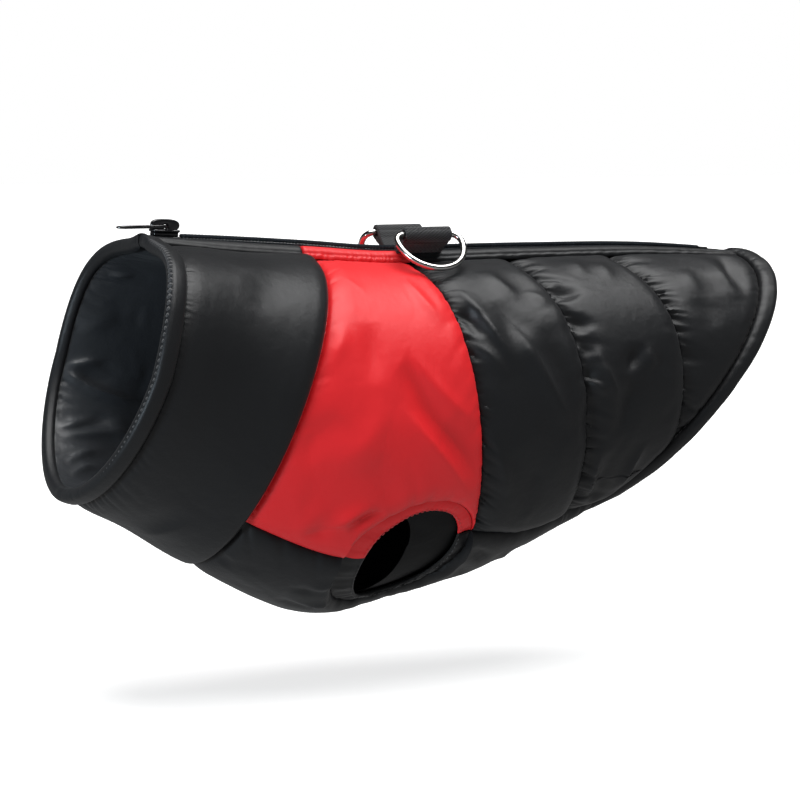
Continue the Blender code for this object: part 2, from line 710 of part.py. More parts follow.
def build_slider(collection, cutters, material):
    """The zip slider: a block with a narrow tail, and a bail arched over it for the pull."""
    size = (SLIDER_LENGTH, SLIDER_WIDTH, SLIDER_HEIGHT)
    body = link_mesh("zip_slider", material, collection, block(size, (0, 0, SLIDER_HEIGHT / 2)))
    pieces = [body]
    for side, word in ((-1, "left"), (1, "right")):
        length, depth = SLIDER_WAIST
        place = (SLIDER_LENGTH / 2, side * SLIDER_WIDTH / 2, SLIDER_HEIGHT / 2)
        size = (2 * length, 2 * depth, 2 * SLIDER_HEIGHT)
        waist = guide(link_mesh("slider_waist_" + word, material, cutters, block(size, place)))
        cut_with(body, waist)
        pieces.append(waist)
    arch = bpy.data.curves.new("slider_bail", "CURVE")
    arch.dimensions = "3D"
    arch.bevel_depth = BAIL_RADIUS * MM
    arch.bevel_resolution = 2
    arch.use_fill_caps = True
    turns = np.linspace(0, math.pi, 9)
    line = [(-BAIL_HALF_LENGTH * math.cos(t), PIN_HEIGHT + BAIL_RISE * math.sin(t)) for t in turns]
    foot = SLIDER_HEIGHT - BAIL_SINK
    line = [(line[0][0], foot)] + line + [(line[-1][0], foot)]
    spline = arch.splines.new("POLY")
    spline.points.add(len(line) - 1)
    for point, (x, z) in zip(spline.points, line):
        point.co = (x * MM, 0, z * MM, 1)
    arch_obj = bpy.data.objects.new("slider_bail", arch)
    cutters.objects.link(arch_obj)
    bail = guide(as_mesh(arch_obj, "slider_bail", cutters))
    join_with(body, bail)
    pieces.append(bail)
    for obj in pieces:
        obj.location = (SLIDER_X * MM, 0, SLIDER_BASE_Z * MM)
        obj.rotation_euler = (0, SLIDER_PITCH, 0)


def pin_point():
    """Where the pull turns, in millimetres: inside the bail, along the slider's own up axis."""
    return (
        SLIDER_X + PIN_HEIGHT * math.sin(SLIDER_PITCH),
        0.0,
        SLIDER_BASE_Z + PIN_HEIGHT * math.cos(SLIDER_PITCH),
    )


def build_pull(collection, cutters, material):
    """The pull: a flat tongue lying forward, with a window round the bail. Its origin is on its pin."""
    place = [value * MM for value in pin_point()]
    size = (PULL_LENGTH, PULL_WIDTH, PULL_THICKNESS)
    middle = (PULL_EYE - PULL_LENGTH / 2, 0, 0)
    tongue = link_mesh("zip_pull", material, collection, block(size, middle))
    size = (PULL_WINDOW_END - PULL_WINDOW_START, PULL_WINDOW_WIDTH, 4 * PULL_THICKNESS)
    middle = (-(PULL_WINDOW_START + PULL_WINDOW_END) / 2, 0, 0)
    window = guide(link_mesh("pull_window", material, cutters, block(size, middle)))
    for obj in (tongue, window):
        obj.location = place
    cut_with(tongue, window)


def ring_outline():
    """Points round the leash ring in its own plane: along the bar, then out round the bow."""
    half, corner = RING_WIDTH / 2, RING_CORNER
    turns = np.linspace(0, math.pi / 2, 4)
    points = [(half / 2, 0.0), (-half / 2, 0.0)]
    points += [(-half + corner - corner * math.sin(t), corner - corner * math.cos(t)) for t in turns]
    bow = np.linspace(0, math.pi, 15)[1:-1]
    points += [(-half * math.cos(t), corner + (RING_REACH - corner) * math.sin(t)) for t in bow]
    points += [(half - corner + corner * math.cos(t), corner - corner * math.sin(t)) for t in turns]
    return points


def build_ring(name, collection, material, side):
    """A leash ring of round wire, hanging outwards. side is -1 on the left and 1 on the right."""
    curve = bpy.data.curves.new(name, "CURVE")
    curve.dimensions = "3D"
    curve.bevel_depth = RING_WIRE * MM
    curve.bevel_resolution = 2
    spline = curve.splines.new("POLY")
    outline = ring_outline()
    spline.points.add(len(outline) - 1)
    spline.use_cyclic_u = True
    for point, (x, out) in zip(spline.points, outline):
        point.co = (x * MM, side * out * MM, 0.0, 1.0)
    obj = bpy.data.objects.new(name, curve)
    curve.materials.append(material)
    obj.location = (RING_X * MM, side * RING_BAR_Y * MM, RING_BAR_Z * MM)
    obj.rotation_euler = (-side * RING_HANG, 0, 0)
    collection.objects.link(obj)
    return obj


def build_ring_loop(name, collection, material, side):
    """A strap of webbing folded over the ring's bar. It leans out from its foot on the welt."""
    hole_radius = RING_WIRE + LOOP_SLACK
    fold_radius = hole_radius + WEBBING_THICKNESS
    ply = WEBBING_THICKNESS + LOOP_SLACK
    waist = -fold_radius - 2 * LOOP_SLACK
    over = np.linspace(-0.2 * math.pi, 1.2 * math.pi, 15)
    rim = [(fold_radius * math.cos(t), fold_radius * math.sin(t)) for t in over]
    rim += [(-ply, waist), (-ply, -LOOP_DROP), (ply, -LOOP_DROP), (ply, waist)]
    around = np.linspace(0, 2 * math.pi, 13)[:-1]
    hole = [(hole_radius * math.cos(t), hole_radius * math.sin(t)) for t in around]
    curve = bpy.data.curves.new(name, "CURVE")
    curve.dimensions = "2D"
    curve.fill_mode = "BOTH"
    curve.extrude = LOOP_WIDTH / 2 * MM
    for outline in (rim, hole):
        spline = curve.splines.new("POLY")
        spline.points.add(len(outline) - 1)
        spline.use_cyclic_u = True
        for point, (across, up) in zip(spline.points, outline):
            outward = across * math.cos(LOOP_LEAN) + up * math.sin(LOOP_LEAN)
            rise = up * math.cos(LOOP_LEAN) - across * math.sin(LOOP_LEAN)
            point.co = (side * outward * MM, rise * MM, 0.0, 1.0)
    curve.materials.append(material)
    obj = bpy.data.objects.new(name, curve)
    obj.location = (RING_X * MM, side * RING_BAR_Y * MM, RING_BAR_Z * MM)
    # This turns the outline upright across the coat, and its thickness along it.
    obj.rotation_euler = (math.pi / 2, 0, math.pi / 2)
    collection.objects.link(obj)
    return obj


def clear_scene():
    for obj in list(bpy.data.objects):
        bpy.data.objects.remove(obj)


def make_materials():
    """One Principled material for each finish."""
    made = {}
    for name, colour in COLOURS.items():
        material = bpy.data.materials.new(name)
        material.use_nodes = True
        shader = material.node_tree.nodes["Principled BSDF"]
        shader.inputs["Base Color"].default_value = colour
        shader.inputs["Roughness"].default_value = ROUGHNESS[name]
        shader.inputs["Metallic"].default_value = 1.0 if name == "ring_metal" else 0.0
        made[name] = material
    return made


def main():
    clear_scene()
    scene = bpy.context.scene
    coat = bpy.data.collections.new(COAT)
    cutters = bpy.data.collections.new("cutters")
    scene.collection.children.link(coat)
    scene.collection.children.link(cutters)
    materials = make_materials()
    black, red = materials["black_shell"], materials["red_shell"]
    build_collar(coat, black)
    build_collar_lining(coat, materials["black_lining"])
    build_neck_band(coat, black)
    build_yokes(coat, red)
    build_flanks(coat, black)
    build_under_panel(coat, black)
    build_hem_binding(coat, black)
    build_leg_cuffs(coat, red, black)
    build_zip(coat, materials)
    build_slider(coat, cutters, materials["zip"])
    build_pull(coat, cutters, materials["zip"])
    for side, word in ((-1, "left"), (1, "right")):
        build_ring("leash_ring_" + word, coat, materials["ring_metal"], side)
        build_ring_loop("ring_loop_" + word, coat, materials["webbing"], side)


main()
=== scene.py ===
"""The looks of a padded dog coat: shell cloth, lining, bindings, zip, webbing loops and leash rings.

Shapes are worked out in millimetres on the coat's own outside, by an angle round it from the zip and
a station along it, with a depth below it. Folds and gathers are placed from listed tables, or by seeded
draws.
"""

import math

import bpy
import numpy as np
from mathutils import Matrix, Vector


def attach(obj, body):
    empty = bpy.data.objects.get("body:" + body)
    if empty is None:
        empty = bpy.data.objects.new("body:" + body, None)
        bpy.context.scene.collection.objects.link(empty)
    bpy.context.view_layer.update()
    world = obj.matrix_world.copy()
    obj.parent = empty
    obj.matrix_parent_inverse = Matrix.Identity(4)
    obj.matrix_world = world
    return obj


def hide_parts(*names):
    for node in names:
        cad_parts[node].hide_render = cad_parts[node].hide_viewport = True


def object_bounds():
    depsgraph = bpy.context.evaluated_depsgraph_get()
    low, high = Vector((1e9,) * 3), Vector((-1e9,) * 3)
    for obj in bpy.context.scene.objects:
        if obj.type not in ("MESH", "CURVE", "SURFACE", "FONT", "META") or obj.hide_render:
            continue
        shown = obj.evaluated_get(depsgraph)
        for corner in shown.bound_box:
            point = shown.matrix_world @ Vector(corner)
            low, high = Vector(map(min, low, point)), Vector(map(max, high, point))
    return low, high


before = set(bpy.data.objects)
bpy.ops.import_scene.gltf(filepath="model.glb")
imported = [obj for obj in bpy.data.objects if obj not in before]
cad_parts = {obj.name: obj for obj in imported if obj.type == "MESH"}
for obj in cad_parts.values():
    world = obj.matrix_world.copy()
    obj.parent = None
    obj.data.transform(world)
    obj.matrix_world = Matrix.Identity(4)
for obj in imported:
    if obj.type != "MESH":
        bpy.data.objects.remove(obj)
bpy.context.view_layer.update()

MM = 0.001
PI = math.pi

# Sections of the coat's outside, as in the solids: ovals in leaning planes, from neck to tail.
RING_COLUMNS = ("top_x", "top_z", "low_x", "low_z", "half_width", "side_back", "egg", "shoulder", "ridge")
RINGS = {
    "neck_edge": (-143.0, 16.5, -186.5, -109.5, 73.0, 3.0, 0.08, 10.0, 3.0),
    "collar_mid": (-101.0, 14.1, -157.0, -122.8, 69.0, 2.0, 0.04, 2.8, 7.4),
    "collar_edge": (-57.5, 11.0, -120.5, -145.0, 69.0, 0.0, 0.04, 0.0, 8.0),
    "chest": (-30.0, 8.5, -60.0, -173.5, 72.5, 0.0, 0.06, 0.0, 7.6),
    "yoke_seam": (-5.0, 7.5, 13.0, -163.0, 71.0, 1.5, 0.06, 0.0, 7.4),
    "waist": (66.0, 7.4, 44.0, -153.0, 69.0, 4.0, 0.06, 0.0, 6.2),
    "loin": (131.0, 6.3, 68.0, -142.0, 64.0, 8.0, 0.06, 0.0, 4.6),
    "hem": (197.5, 1.2, 88.0, -132.5, 57.5, 15.8, 0.04, 0.0, 0.6),
}
TABLE = np.array(list(RINGS.values()))
STATIONS = (TABLE[:, 0] + TABLE[:, 2]) / 2
SLOPES = np.gradient(TABLE, STATIONS, axis=0)
STATION = dict(zip(RINGS, STATIONS))
NECK, YOKE, HEM = STATION["neck_edge"], STATION["yoke_seam"], STATION["hem"]
RIDGE_FOOT = 11.0  # from the zip to where most of the ridge's fall is done
GIRTH = 70.0  # millimetres round the coat for each radian, near enough for folds and gathers

# Depths below the sections, widths, and places along the coat, in millimetres.
LINING_DEPTH, SEAM_DEPTH = 6.3, 4.2
STATION_GAP, ANGLE_GAP = 0.12, 0.12 / GIRTH  # half the gap at a seam
NECK_BAND_WIDTH, HEM_BINDING_WIDTH = 8.5, 11.5
ZIP_TAPE_EDGE, WELT_INNER, WELT_OUTER, PANEL_TOP = 10.6, 5.2, 11.6, 12.1
BINDING_END = 0.5
LIP_OVERHANG, LIP_REST = 4.6, 6.0
COLLAR = STATION["collar_edge"] - LIP_OVERHANG
LEG_FRONT, LEG_REAR = -49.5, YOKE - 0.25
LEG_ANGLE, LEG_UP, LEG_DOWN = 131.0, 19.5, 37.0
CUFF_WIDTH_STATION, CUFF_WIDTH_UP, CUFF_WIDTH_DOWN = 10.0, 4.3, 3.6
SIDE_SEAM_STATION = (COLLAR, LEG_FRONT, YOKE, 16.0, 37.0, 57.0, HEM)
SIDE_SEAM_ANGLE = (134.0, LEG_ANGLE, LEG_ANGLE, 134.0, 139.5, 142.5, 147.0)
QUILT_LINES = ((49.0, 12.0, 0.069), (107.0, 21.0, -0.03))  # x at the zip, bow, lean
QUILT_BOW_DROP = 25.0
SHORTEST_CHANNEL = 6.0


def hermite(knots, values, slopes, at):
    """Cubic Hermite curves through rows of values, at places along their knots."""
    i = np.clip(np.searchsorted(knots, at, side="right") - 1, 0, len(knots) - 2)
    span = (knots[i + 1] - knots[i])[..., None]
    s = (at - knots[i])[..., None] / span
    near = (2 * s**3 - 3 * s**2 + 1) * values[i] + (s**3 - 2 * s**2 + s) * span * slopes[i]
    return near + (3 * s**2 - 2 * s**3) * values[i + 1] + (s**3 - s**2) * span * slopes[i + 1]


def unit(vectors):
    """The same directions, one long."""
    return vectors / np.linalg.norm(vectors, axis=-1, keepdims=True)


def distances(path):
    """Millimetres along a path to each of its points."""
    return np.concatenate([[0], np.cumsum(np.linalg.norm(np.diff(path, axis=0), axis=1))])


def section(station):
    """The table's columns at a station."""
    row = hermite(STATIONS, TABLE, SLOPES, np.asarray(station, float))
    return {name: row[..., k] for k, name in enumerate(RING_COLUMNS)}


def outside(angle, station):
    """A point of the coat's outside: an oval in a leaning plane. angle is 0 at the zip, pi below."""
    angle, station = np.broadcast_arrays(np.asarray(angle, float), np.asarray(station, float))
    row = section(station)
    down, side = np.cos(angle), np.sin(angle)
    x = (row["top_x"] + row["low_x"]) / 2 + (row["top_x"] - row["low_x"]) / 2 * down
    z = (row["top_z"] + row["low_z"]) / 2 + (row["top_z"] - row["low_z"]) / 2 * down
    z = z + row["shoulder"] * side**2 * (down + np.abs(down))
    y = -row["half_width"] * side * (1 + row["egg"] * down)
    z = z - row["ridge"] * np.maximum(down, 0) ** 3 * (1 - np.exp(-((y / RIDGE_FOOT) ** 2)))
    return np.stack([x + row["side_back"] * np.abs(side), y, z], axis=-1)


def slopes(angle, station, step=0.5):
    """The surface's two tangents, per radian and per millimetre of station."""
    turn = step / GIRTH
    across = (outside(angle + turn, station) - outside(angle - turn, station)) / (2 * turn)
    along = (outside(angle, station + step) - outside(angle, station - step)) / (2 * step)
    return across, along


def normals(angle, station):
    """Unit vectors straight out of the surface."""
    return unit(np.cross(*slopes(np.asarray(angle, float), np.asarray(station, float))))


def at_depth(angle, station, depth):
    """The outside's point, less the normal there times the depth."""
    return outside(angle, station) - normals(angle, station) * np.asarray(depth, float)[..., None]


def angle_of(offset, station):
    """The angle at which the surface is that many millimetres to the left of the zip."""
    row = section(station)
    return offset / (row["half_width"] * (1 + row["egg"]))


def station_pace(angle, station):
    """Millimetres along the surface for each millimetre of station."""
    return np.linalg.norm(slopes(angle, station)[1], axis=-1)


def band_edge(angle):
    """The station where the neck band meets the collar."""
    return NECK + NECK_BAND_WIDTH / station_pace(angle, NECK + 1.0)


def binding_edge(angle):
    """The station where the hem binding meets the panels."""
    return HEM - HEM_BINDING_WIDTH / station_pace(angle, HEM - 1.0)


def side_seam(station):
    """The angle of the seam between flank and under panel, past the leg hole as if uncut."""
    return np.radians(np.interp(station, SIDE_SEAM_STATION, SIDE_SEAM_ANGLE))


def leg_curve(turn, inset=0.0):
    """(angle, station) round the leg hole, a split ellipse. turn is 0 at its front, pi/2 at its top."""
    middle, half = (LEG_FRONT + LEG_REAR) / 2, (LEG_REAR - LEG_FRONT) / 2
    up, down = LEG_UP - CUFF_WIDTH_UP * inset, LEG_DOWN - CUFF_WIDTH_DOWN * inset
    angle = np.radians(LEG_ANGLE - np.where(np.sin(turn) >= 0, up, down) * np.sin(turn))
    return angle, middle - (half - CUFF_WIDTH_STATION * inset) * np.cos(turn)


def quilt_offset(line, point):
    """Millimetres that points lie behind a quilting line, measured along X."""
    at_zip, bow, lean = line
    drop = np.maximum(-point[..., 2], 0)
    return point[..., 0] - (at_zip + bow * (1 - np.exp(-drop / QUILT_BOW_DROP)) + lean * drop)


def quilt_station(line, angle):
    """The station at which the surface crosses a quilting line, for each of a row of angles."""
    tries = np.linspace(YOKE, HEM, 400)
    offset = quilt_offset(line, outside(angle, tries[:, None]))
    after = np.maximum(np.argmax(offset > 0, axis=0), 1)[None]
    short, past = (np.take_along_axis(offset, i, 0)[0] for i in (after - 1, after))
    return tries[after[0]] - (tries[1] - tries[0]) * past / (past - short)


def rise(distance, run):
    """A quarter-round rise from 0 to 1 over that run."""
    short = 1 - np.clip(distance / run, 0, 1)
    return np.sqrt(np.clip(1 - short**2, 0, 1))


def shares(count, crowd=0.7):
    """count + 1 shares from 0 to 1 that crowd together at both ends: u - crowd * sin(2 pi u) / 2 pi."""
    u = np.linspace(0, 1, count + 1)
    return u - crowd * np.sin(2 * PI * u) / (2 * PI)


def round_angles(offset, station, turns, crowd):
    """Angles round the coat, from that many millimetres left of the zip to as many right of it."""
    top = float(angle_of(offset, station))
    return (top + (2 * PI - 2 * top) * shares(turns, crowd))[:, None]


def mirrored(angle):
    """The same angle on the left side, and its mirror angle on the right side."""
    return PI - np.abs(angle - PI)


def through(points, count):
    """count points evenly along a smooth curve through the given ones."""
    points = np.asarray(points, float)
    knots = distances(points)
    return hermite(knots, points, np.gradient(points, knots, axis=0), np.linspace(0, knots[-1], count))


# ---------------------------------------------------------------- folds and gathers

FOLD_COLUMNS = ("a0", "t0", "a1", "t1", "bow", "half_width", "depth", "power", "skew")
# Start and end as (angle, station), sideways bow, half width and depth in millimetres, then how
# pointed the fold is (2 is round, 1 sharp) and how much narrower it is on one side.
FLANK_FOLDS = (
    (34, 11, 74, 25, -2.8, 3.5, -3.4, 1.4, -0.6),
    (43, 3, 59, 12, 1.8, 4.1, 3.4, 1.8, 0.0),
    (47, 24, 96, 53, -4.7, 4.1, -3.6, 1.4, 0.3),
    (43, 24, 66, 31, -0.5, 5.3, 2.4, 1.8, 0.0),
    (56, 38, 88, 50, -2.0, 6.4, 1.9, 1.8, 0.0),
    (59, 5, 76, 19, 1.1, 3.3, -2.0, 1.5, 0.0),
    (23, 27, 44, 34, -1.2, 3.7, -1.7, 1.5, 0.4),
    (38, 37, 49, 42, 1.7, 3.1, -1.3, 1.5, 0.0),
    (28, 32, 52, 42, 0.0, 5.7, 1.1, 2.0, 0.0),
    (90, 7, 116, 19, -0.3, 3.3, -1.6, 1.5, 0.0),
    (98, 24, 128, 36, 2.0, 10.1, 1.3, 2.0, 0.0),
    (35, 49, 45, 57, 0.0, 4.3, 3.1, 1.8, 0.0),
    (54, 51, 61, 58, 0.0, 3.5, 2.7, 1.8, 0.0),
    (65, 53, 71, 60, 0.0, 3.3, 2.5, 1.8, 0.0),
    (75, 54, 80, 61, 0.0, 3.3, 2.5, 1.8, 0.0),
    (16, 64, 34, 63, 0.0, 3.5, -1.6, 1.5, 0.3),
    (20, 73, 37, 73, 0.0, 3.5, -1.6, 1.5, 0.3),
    (78, 57, 86, 68, 0.0, 2.5, -2.4, 1.5, 0.0),
    (67, 61, 89, 77, -1.6, 3.1, -2.7, 1.4, 0.4),
    (86, 58, 104, 68, 0.0, 5.1, 2.2, 1.8, 0.0),
    (68, 83, 80, 79, -1.1, 3.5, 3.4, 1.5, 0.0),
    (78, 80, 104, 84, 0.0, 5.1, 2.4, 1.6, 0.0),
    (68, 84, 80, 91, 0.0, 2.8, -2.0, 1.5, 0.0),
    (104, 75, 136, 96, -4.7, 3.1, -2.4, 1.4, 0.0),
    (108, 82, 138, 104, -3.0, 5.1, 2.0, 1.8, 0.0),
    (108, 105, 134, 116, -3.0, 3.1, -2.5, 1.4, 0.0),
    (20, 120, 51, 126, -3.4, 3.1, -2.7, 1.4, 0.3),
    (15, 124, 48, 127, -1.6, 3.5, 3.4, 1.5, 0.0),
    (48, 106, 64, 118, 0.0, 4.4, 1.3, 1.8, 0.0),
    (30, 104, 47, 108, 0.0, 3.5, -1.3, 1.6, 0.3),
)
YOKE_FOLDS = (
    (27, -22, 52, -5, -3.5, 5.2, -1.6, 1.7, 0.0),
    (60, -37, 88, 1, -2.1, 4.7, -2.4, 1.6, 0.4),
    (64, -43, 85, -15, -0.8, 6.8, 3.7, 1.8, 0.0),
    (78, -44, 112, -3, 3.3, 3.6, -2.9, 1.4, 0.5),
    (76, -36, 110, 1, 5.0, 5.2, 3.2, 1.6, 0.0),
    (78, -49, 102, -71, 3.1, 6.3, -1.9, 1.8, 0.0),
    (85, -71, 107, -80, -2.8, 6.3, 2.2, 1.8, 0.0),
    (52, -64, 74, -58, 0.0, 7.4, 1.8, 2.0, 0.0),
    (54, -79, 74, -88, 2.2, 5.2, -1.6, 1.8, 0.0),
    (96, -54, 114, -34, 2.0, 6.3, 1.6, 2.0, 0.0),
    (124, -62, 109, -46, 2.0, 3.2, -2.7, 1.5, 0.0),
    (119, -54, 111, -40, 1.5, 2.3, 3.2, 1.4, 0.0),
    (127, -68, 116, -54, 0.0, 2.5, 1.6, 1.5, 0.0),
    (128, -72, 112, -64, 0.0, 4.2, -1.3, 1.8, 0.0),
)
COLLAR_FOLDS = (
    (23, -118, 51, -137, -1.0, 7.5, -0.9, 1.7, 0.4),
    (34, -112, 60, -126, 0, 9.0, 0.7, 2.0, 0.0),
    (170, -119, 141, -108, 1.1, 4.5, -1.2, 1.5, 0.4),
    (164, -124, 138, -116, 0, 7.5, 0.8, 2.0, 0.0),
    (84, -104, 120, -100, 0, 13.5, 0.7, 2.0, 0.0),
)
UNDER_FOLDS = (
    (159, -84, 151, -85, 0.0, 3.0, 1.2, 1.6, 0.0),
    (160, -57, 151, -42, -3.7, 2.2, -1.6, 1.4, 0.0),
    (150, -55, 141, -48, 0.0, 2.0, -1.2, 1.5, 0.0),
    (152, -62, 146, -47, 0.0, 2.6, 1.2, 1.5, 0.0),
    (164, -62, 160, -44, 0.0, 3.0, 1.1, 1.6, 0.0),
    (137, 4, 150, 20, 1.0, 2.6, 1.6, 1.4, 0.5),
    (141, 8, 158, 18, 0.0, 2.6, -1.1, 1.5, 0.0),
    (146, 2, 163, 8, 0.0, 3.0, 1.2, 1.6, 0.0),
    (148, 28, 164, 40, 0.0, 4.0, 1.2, 1.6, 0.0),
    (147, 36, 166, 50, 0.0, 3.0, -1.0, 1.5, 0.0),
    (152, 62, 168, 56, 0.0, 5.0, 1.0, 1.8, 0.0),
    (150, -78, 164, -70, 0.0, 6.0, -0.8, 2.0, 0.0),
    (166, -30, 178, -12, 0.0, 6.0, 0.9, 1.8, 0.0),
)


def fold_relief(angle, station, table):
    """Added depth: each fold is exp(-(distance / half width) ** power), which fades at its two ends.
    Its line is straight on the surface laid flat, plus a bow of 4 s (1 - s) sideways."""
    here = np.stack([np.abs(angle) * GIRTH, station * np.ones_like(angle)], axis=-1)
    total = np.zeros(here.shape[:-1])
    for row in table:
        fold = dict(zip(FOLD_COLUMNS, row))
        start = np.array([math.radians(fold["a0"]) * GIRTH, fold["t0"]])
        run = np.array([math.radians(fold["a1"]) * GIRTH, fold["t1"]]) - start
        share = np.clip(((here - start) @ run) / (run @ run), 0, 1)
        off = (here - start) - share[..., None] * run
        side = (off @ np.array([-run[1], run[0]])) / np.linalg.norm(run)
        past = np.sqrt(np.maximum((off**2).sum(-1) - side**2, 0))
        side = side - fold["bow"] * 4 * share * (1 - share)
        width = fold["half_width"] * (1 - fold["skew"] * 0.5 * np.sign(side) * np.minimum(np.abs(side), 1))
        distance = np.hypot(side, past) / width
        total += fold["depth"] * np.exp(-(distance ** fold["power"])) * np.sin(PI * share) ** 1.2
    return total


def round_relief(angle, station, left, right):
    """The folds of a piece that goes round both sides, from a table for each."""
    angle, on_left = mirrored(angle), angle < PI
    return np.where(on_left, fold_relief(angle, station, left), fold_relief(angle, station, right))


def varied(table, seed):
    """The folds of the other side: the same ones, each a little moved, turned and stretched."""
    draw = np.random.default_rng(seed)
    spread = np.array((3.0, 3.0, 3.0, 3.0, 0.8, 0.4, 0.25, 0.0, 0.0))
    return [tuple(np.array(row, float) + spread * draw.uniform(-1, 1, len(row))) for row in table]


def soft_folds(seed, count, angles, stations, depth):
    """Faint creases at seeded places in a range of angles and stations, mostly on the diagonal."""
    draw = np.random.default_rng(seed)
    rows = []
    for _ in range(count):
        a, t = draw.uniform(*angles), draw.uniform(*stations)
        length, lean = draw.uniform(9, 26), math.radians(draw.normal(35, 26))
        turn = length * math.cos(lean) / math.radians(GIRTH)
        sign = draw.choice((-1, 1))
        reach = depth * draw.uniform(0.35, 1.0) * sign
        width = draw.uniform(1.8, 5.0)
        rows.append((a, t, a + turn, t + length * math.sin(lean), draw.uniform(-2, 2), width, reach, 1.7, 0))
    return rows


def gathers(along, away, seed, pitch, reach, depth, lean=0.0):
    """Small puckers pulled in by a seam: narrow troughs at uneven steps along it, each with its own
    reach, depth and lean. along and away are millimetres along the seam and from it."""
    draw = np.random.default_rng(seed)
    total = np.zeros(np.broadcast(along, away).shape)
    spot, last = along.min() - pitch, along.max() + pitch
    while spot < last:
        spot += pitch * draw.uniform(0.6, 1.5)
        long, deep = reach * draw.uniform(0.5, 1.8), depth * draw.uniform(0.3, 1.3)
        tilt, width = lean + draw.normal(0, 0.15), pitch * draw.uniform(0.22, 0.4)
        line = np.exp(-(((along - spot - tilt * away) / width) ** 2))
        total += deep * line * np.exp(-((np.maximum(away, 0) / long) ** 2))
    return np.where(away >= -0.5, total, 0.0)


def all_gathers(*rows):
    """Several gathers together. Each row is what gathers() takes."""
    return sum(gathers(*row) for row in rows)


# ---------------------------------------------------------------- meshes

SHARP_EDGE = math.radians(50)
# The slot of each material. Thread has none.
SLOTS = {
    "black_taffeta": "black_shell",
    "red_taffeta": "red_shell",
    # the body's lining, whose colour is darkened as painted shade
    "body_lining_painted_shade": "black_lining",
    "lining_taffeta": "black_lining",
    "strap_webbing": "webbing",
    "zip_tape_weave": "webbing",
    "tooth_plastic": "zip",
    "slider_enamel": "zip",
    "stop_enamel": "zip",
    "plated_steel": "ring_metal",
}


def add_object(name, data):
    """A new object in the scene."""
    obj = bpy.data.objects.new(name, data)
    bpy.context.scene.collection.objects.link(obj)
    return obj


def loft_faces(loops, front, ring):
    """Quads of closed tubes. loops is (tubes, rows, points round, 3). Each row joins the next, and
    the ends are joined to each other for a ring, or closed by a strip of quads for the others. The
    first points of a loop, front of them, are its outside, and the strip joins them to the rest."""
    tubes, rows, count = loops.shape[:3]
    index = np.arange(tubes * rows * count).reshape(tubes, rows, count)
    wrapped = np.concatenate([index, index[:, :, :1]], axis=2)
    wrapped = np.concatenate([wrapped, wrapped[:, :1]], axis=1) if ring else wrapped
    corners = lambda a: np.stack([a[:, :-1, :-1], a[:, :-1, 1:], a[:, 1:, 1:], a[:, 1:, :-1]], axis=-1)
    turned, order = np.r_[0:count, 0], np.r_[0:rows, 0] if ring else np.r_[0:rows]
    around = np.linalg.norm(np.diff(loops[:, :, turned], axis=2), axis=-1).cumsum(2)
    around = np.concatenate([np.zeros_like(around[:, :, :1]), around], axis=2)[:, order]
    along = np.linalg.norm(np.diff(loops[:, order][:, :, turned], axis=1), axis=-1).cumsum(1)
    along = np.concatenate([np.zeros_like(along[:, :1]), along], axis=1)
    uv = np.stack([around, along], axis=-1)
    faces = corners(wrapped).reshape(-1, 4)
    coords = np.stack([corners(uv[..., k]).reshape(-1, 4) for k in (0, 1)], axis=-1)
    if not ring:
        here = np.arange(front)
        there = count - 1 - np.rint(here * (count - front - 1) / (front - 1)).astype(int)
        cap = np.stack([here[:-1], here[1:], there[1:], there[:-1]], axis=-1)
        for row, quads in ((0, cap[:, ::-1]), (-1, cap)):
            faces = np.concatenate([faces, index[:, row][:, quads].reshape(-1, 4)])
            coords = np.concatenate([coords, uv[:, row][:, quads].reshape(-1, 4, 2)])
    return faces, coords


def piece(name, parts, material, front=None, ring=False, body="coat", replaces=()):
    """A closed mesh from lofts in millimetres, facing out, which rides on a body. Its UV map has the
    metres round each loop and along the rows."""
    points, faces, coords, start = [], [], [], 0
    for loops in parts if isinstance(parts, list) else [parts]:
        loops = np.asarray(loops, float)
        loops = loops if loops.ndim == 4 else loops[None]
        quads, uv = loft_faces(loops, front or loops.shape[2] // 2, ring)
        flat = loops.reshape(-1, 3)
        a, b, c, d = (flat[quads[:, k]] - flat[0] for k in range(4))
        if (np.cross(a, b) * c).sum() + (np.cross(a, c) * d).sum() < 0:
            quads, uv = quads[:, ::-1], uv[:, ::-1]
        points.append(flat)
        faces.append(quads + start)
        coords.append(uv)
        start += len(flat)
    points, faces, coords = np.concatenate(points) * MM, np.concatenate(faces), np.concatenate(coords) * MM
    kept = faces != np.roll(faces, 1, axis=1)  # a corner that repeats the one before it goes
    corner_count = kept.sum(axis=1)
    mesh = bpy.data.meshes.new(name)
    mesh.vertices.add(len(points))
    mesh.vertices.foreach_set("co", points.astype(np.float32).ravel())
    mesh.loops.add(int(corner_count.sum()))
    mesh.loops.foreach_set("vertex_index", faces[kept].astype(np.int32))
    mesh.polygons.add(len(faces))
    mesh.polygons.foreach_set("loop_start", (corner_count.cumsum() - corner_count).astype(np.int32))
    mesh.update(calc_edges=True)
    mesh.uv_layers.new(name="cloth").data.foreach_set("uv", coords[kept].astype(np.float32).ravel())
    mesh.validate()
    mesh.shade_smooth()
    mesh.set_sharp_from_angle(angle=SHARP_EDGE)
    mesh.materials.append(material)
    obj, slot = add_object(name, mesh), SLOTS.get(material.name)
    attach(obj, body)
    if replaces:
        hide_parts(*replaces)
    return obj


def cloth_for(node, loops, material, front=None):
    """The cloth that takes the place of one of the solids."""
    return piece(node + "_cloth", loops, material, front, replaces=(node,))


def two_sides(outer, inner):
    """Loops that run out along one grid and back along the other."""
    return np.concatenate([outer, inner[:, ::-1]], axis=1)


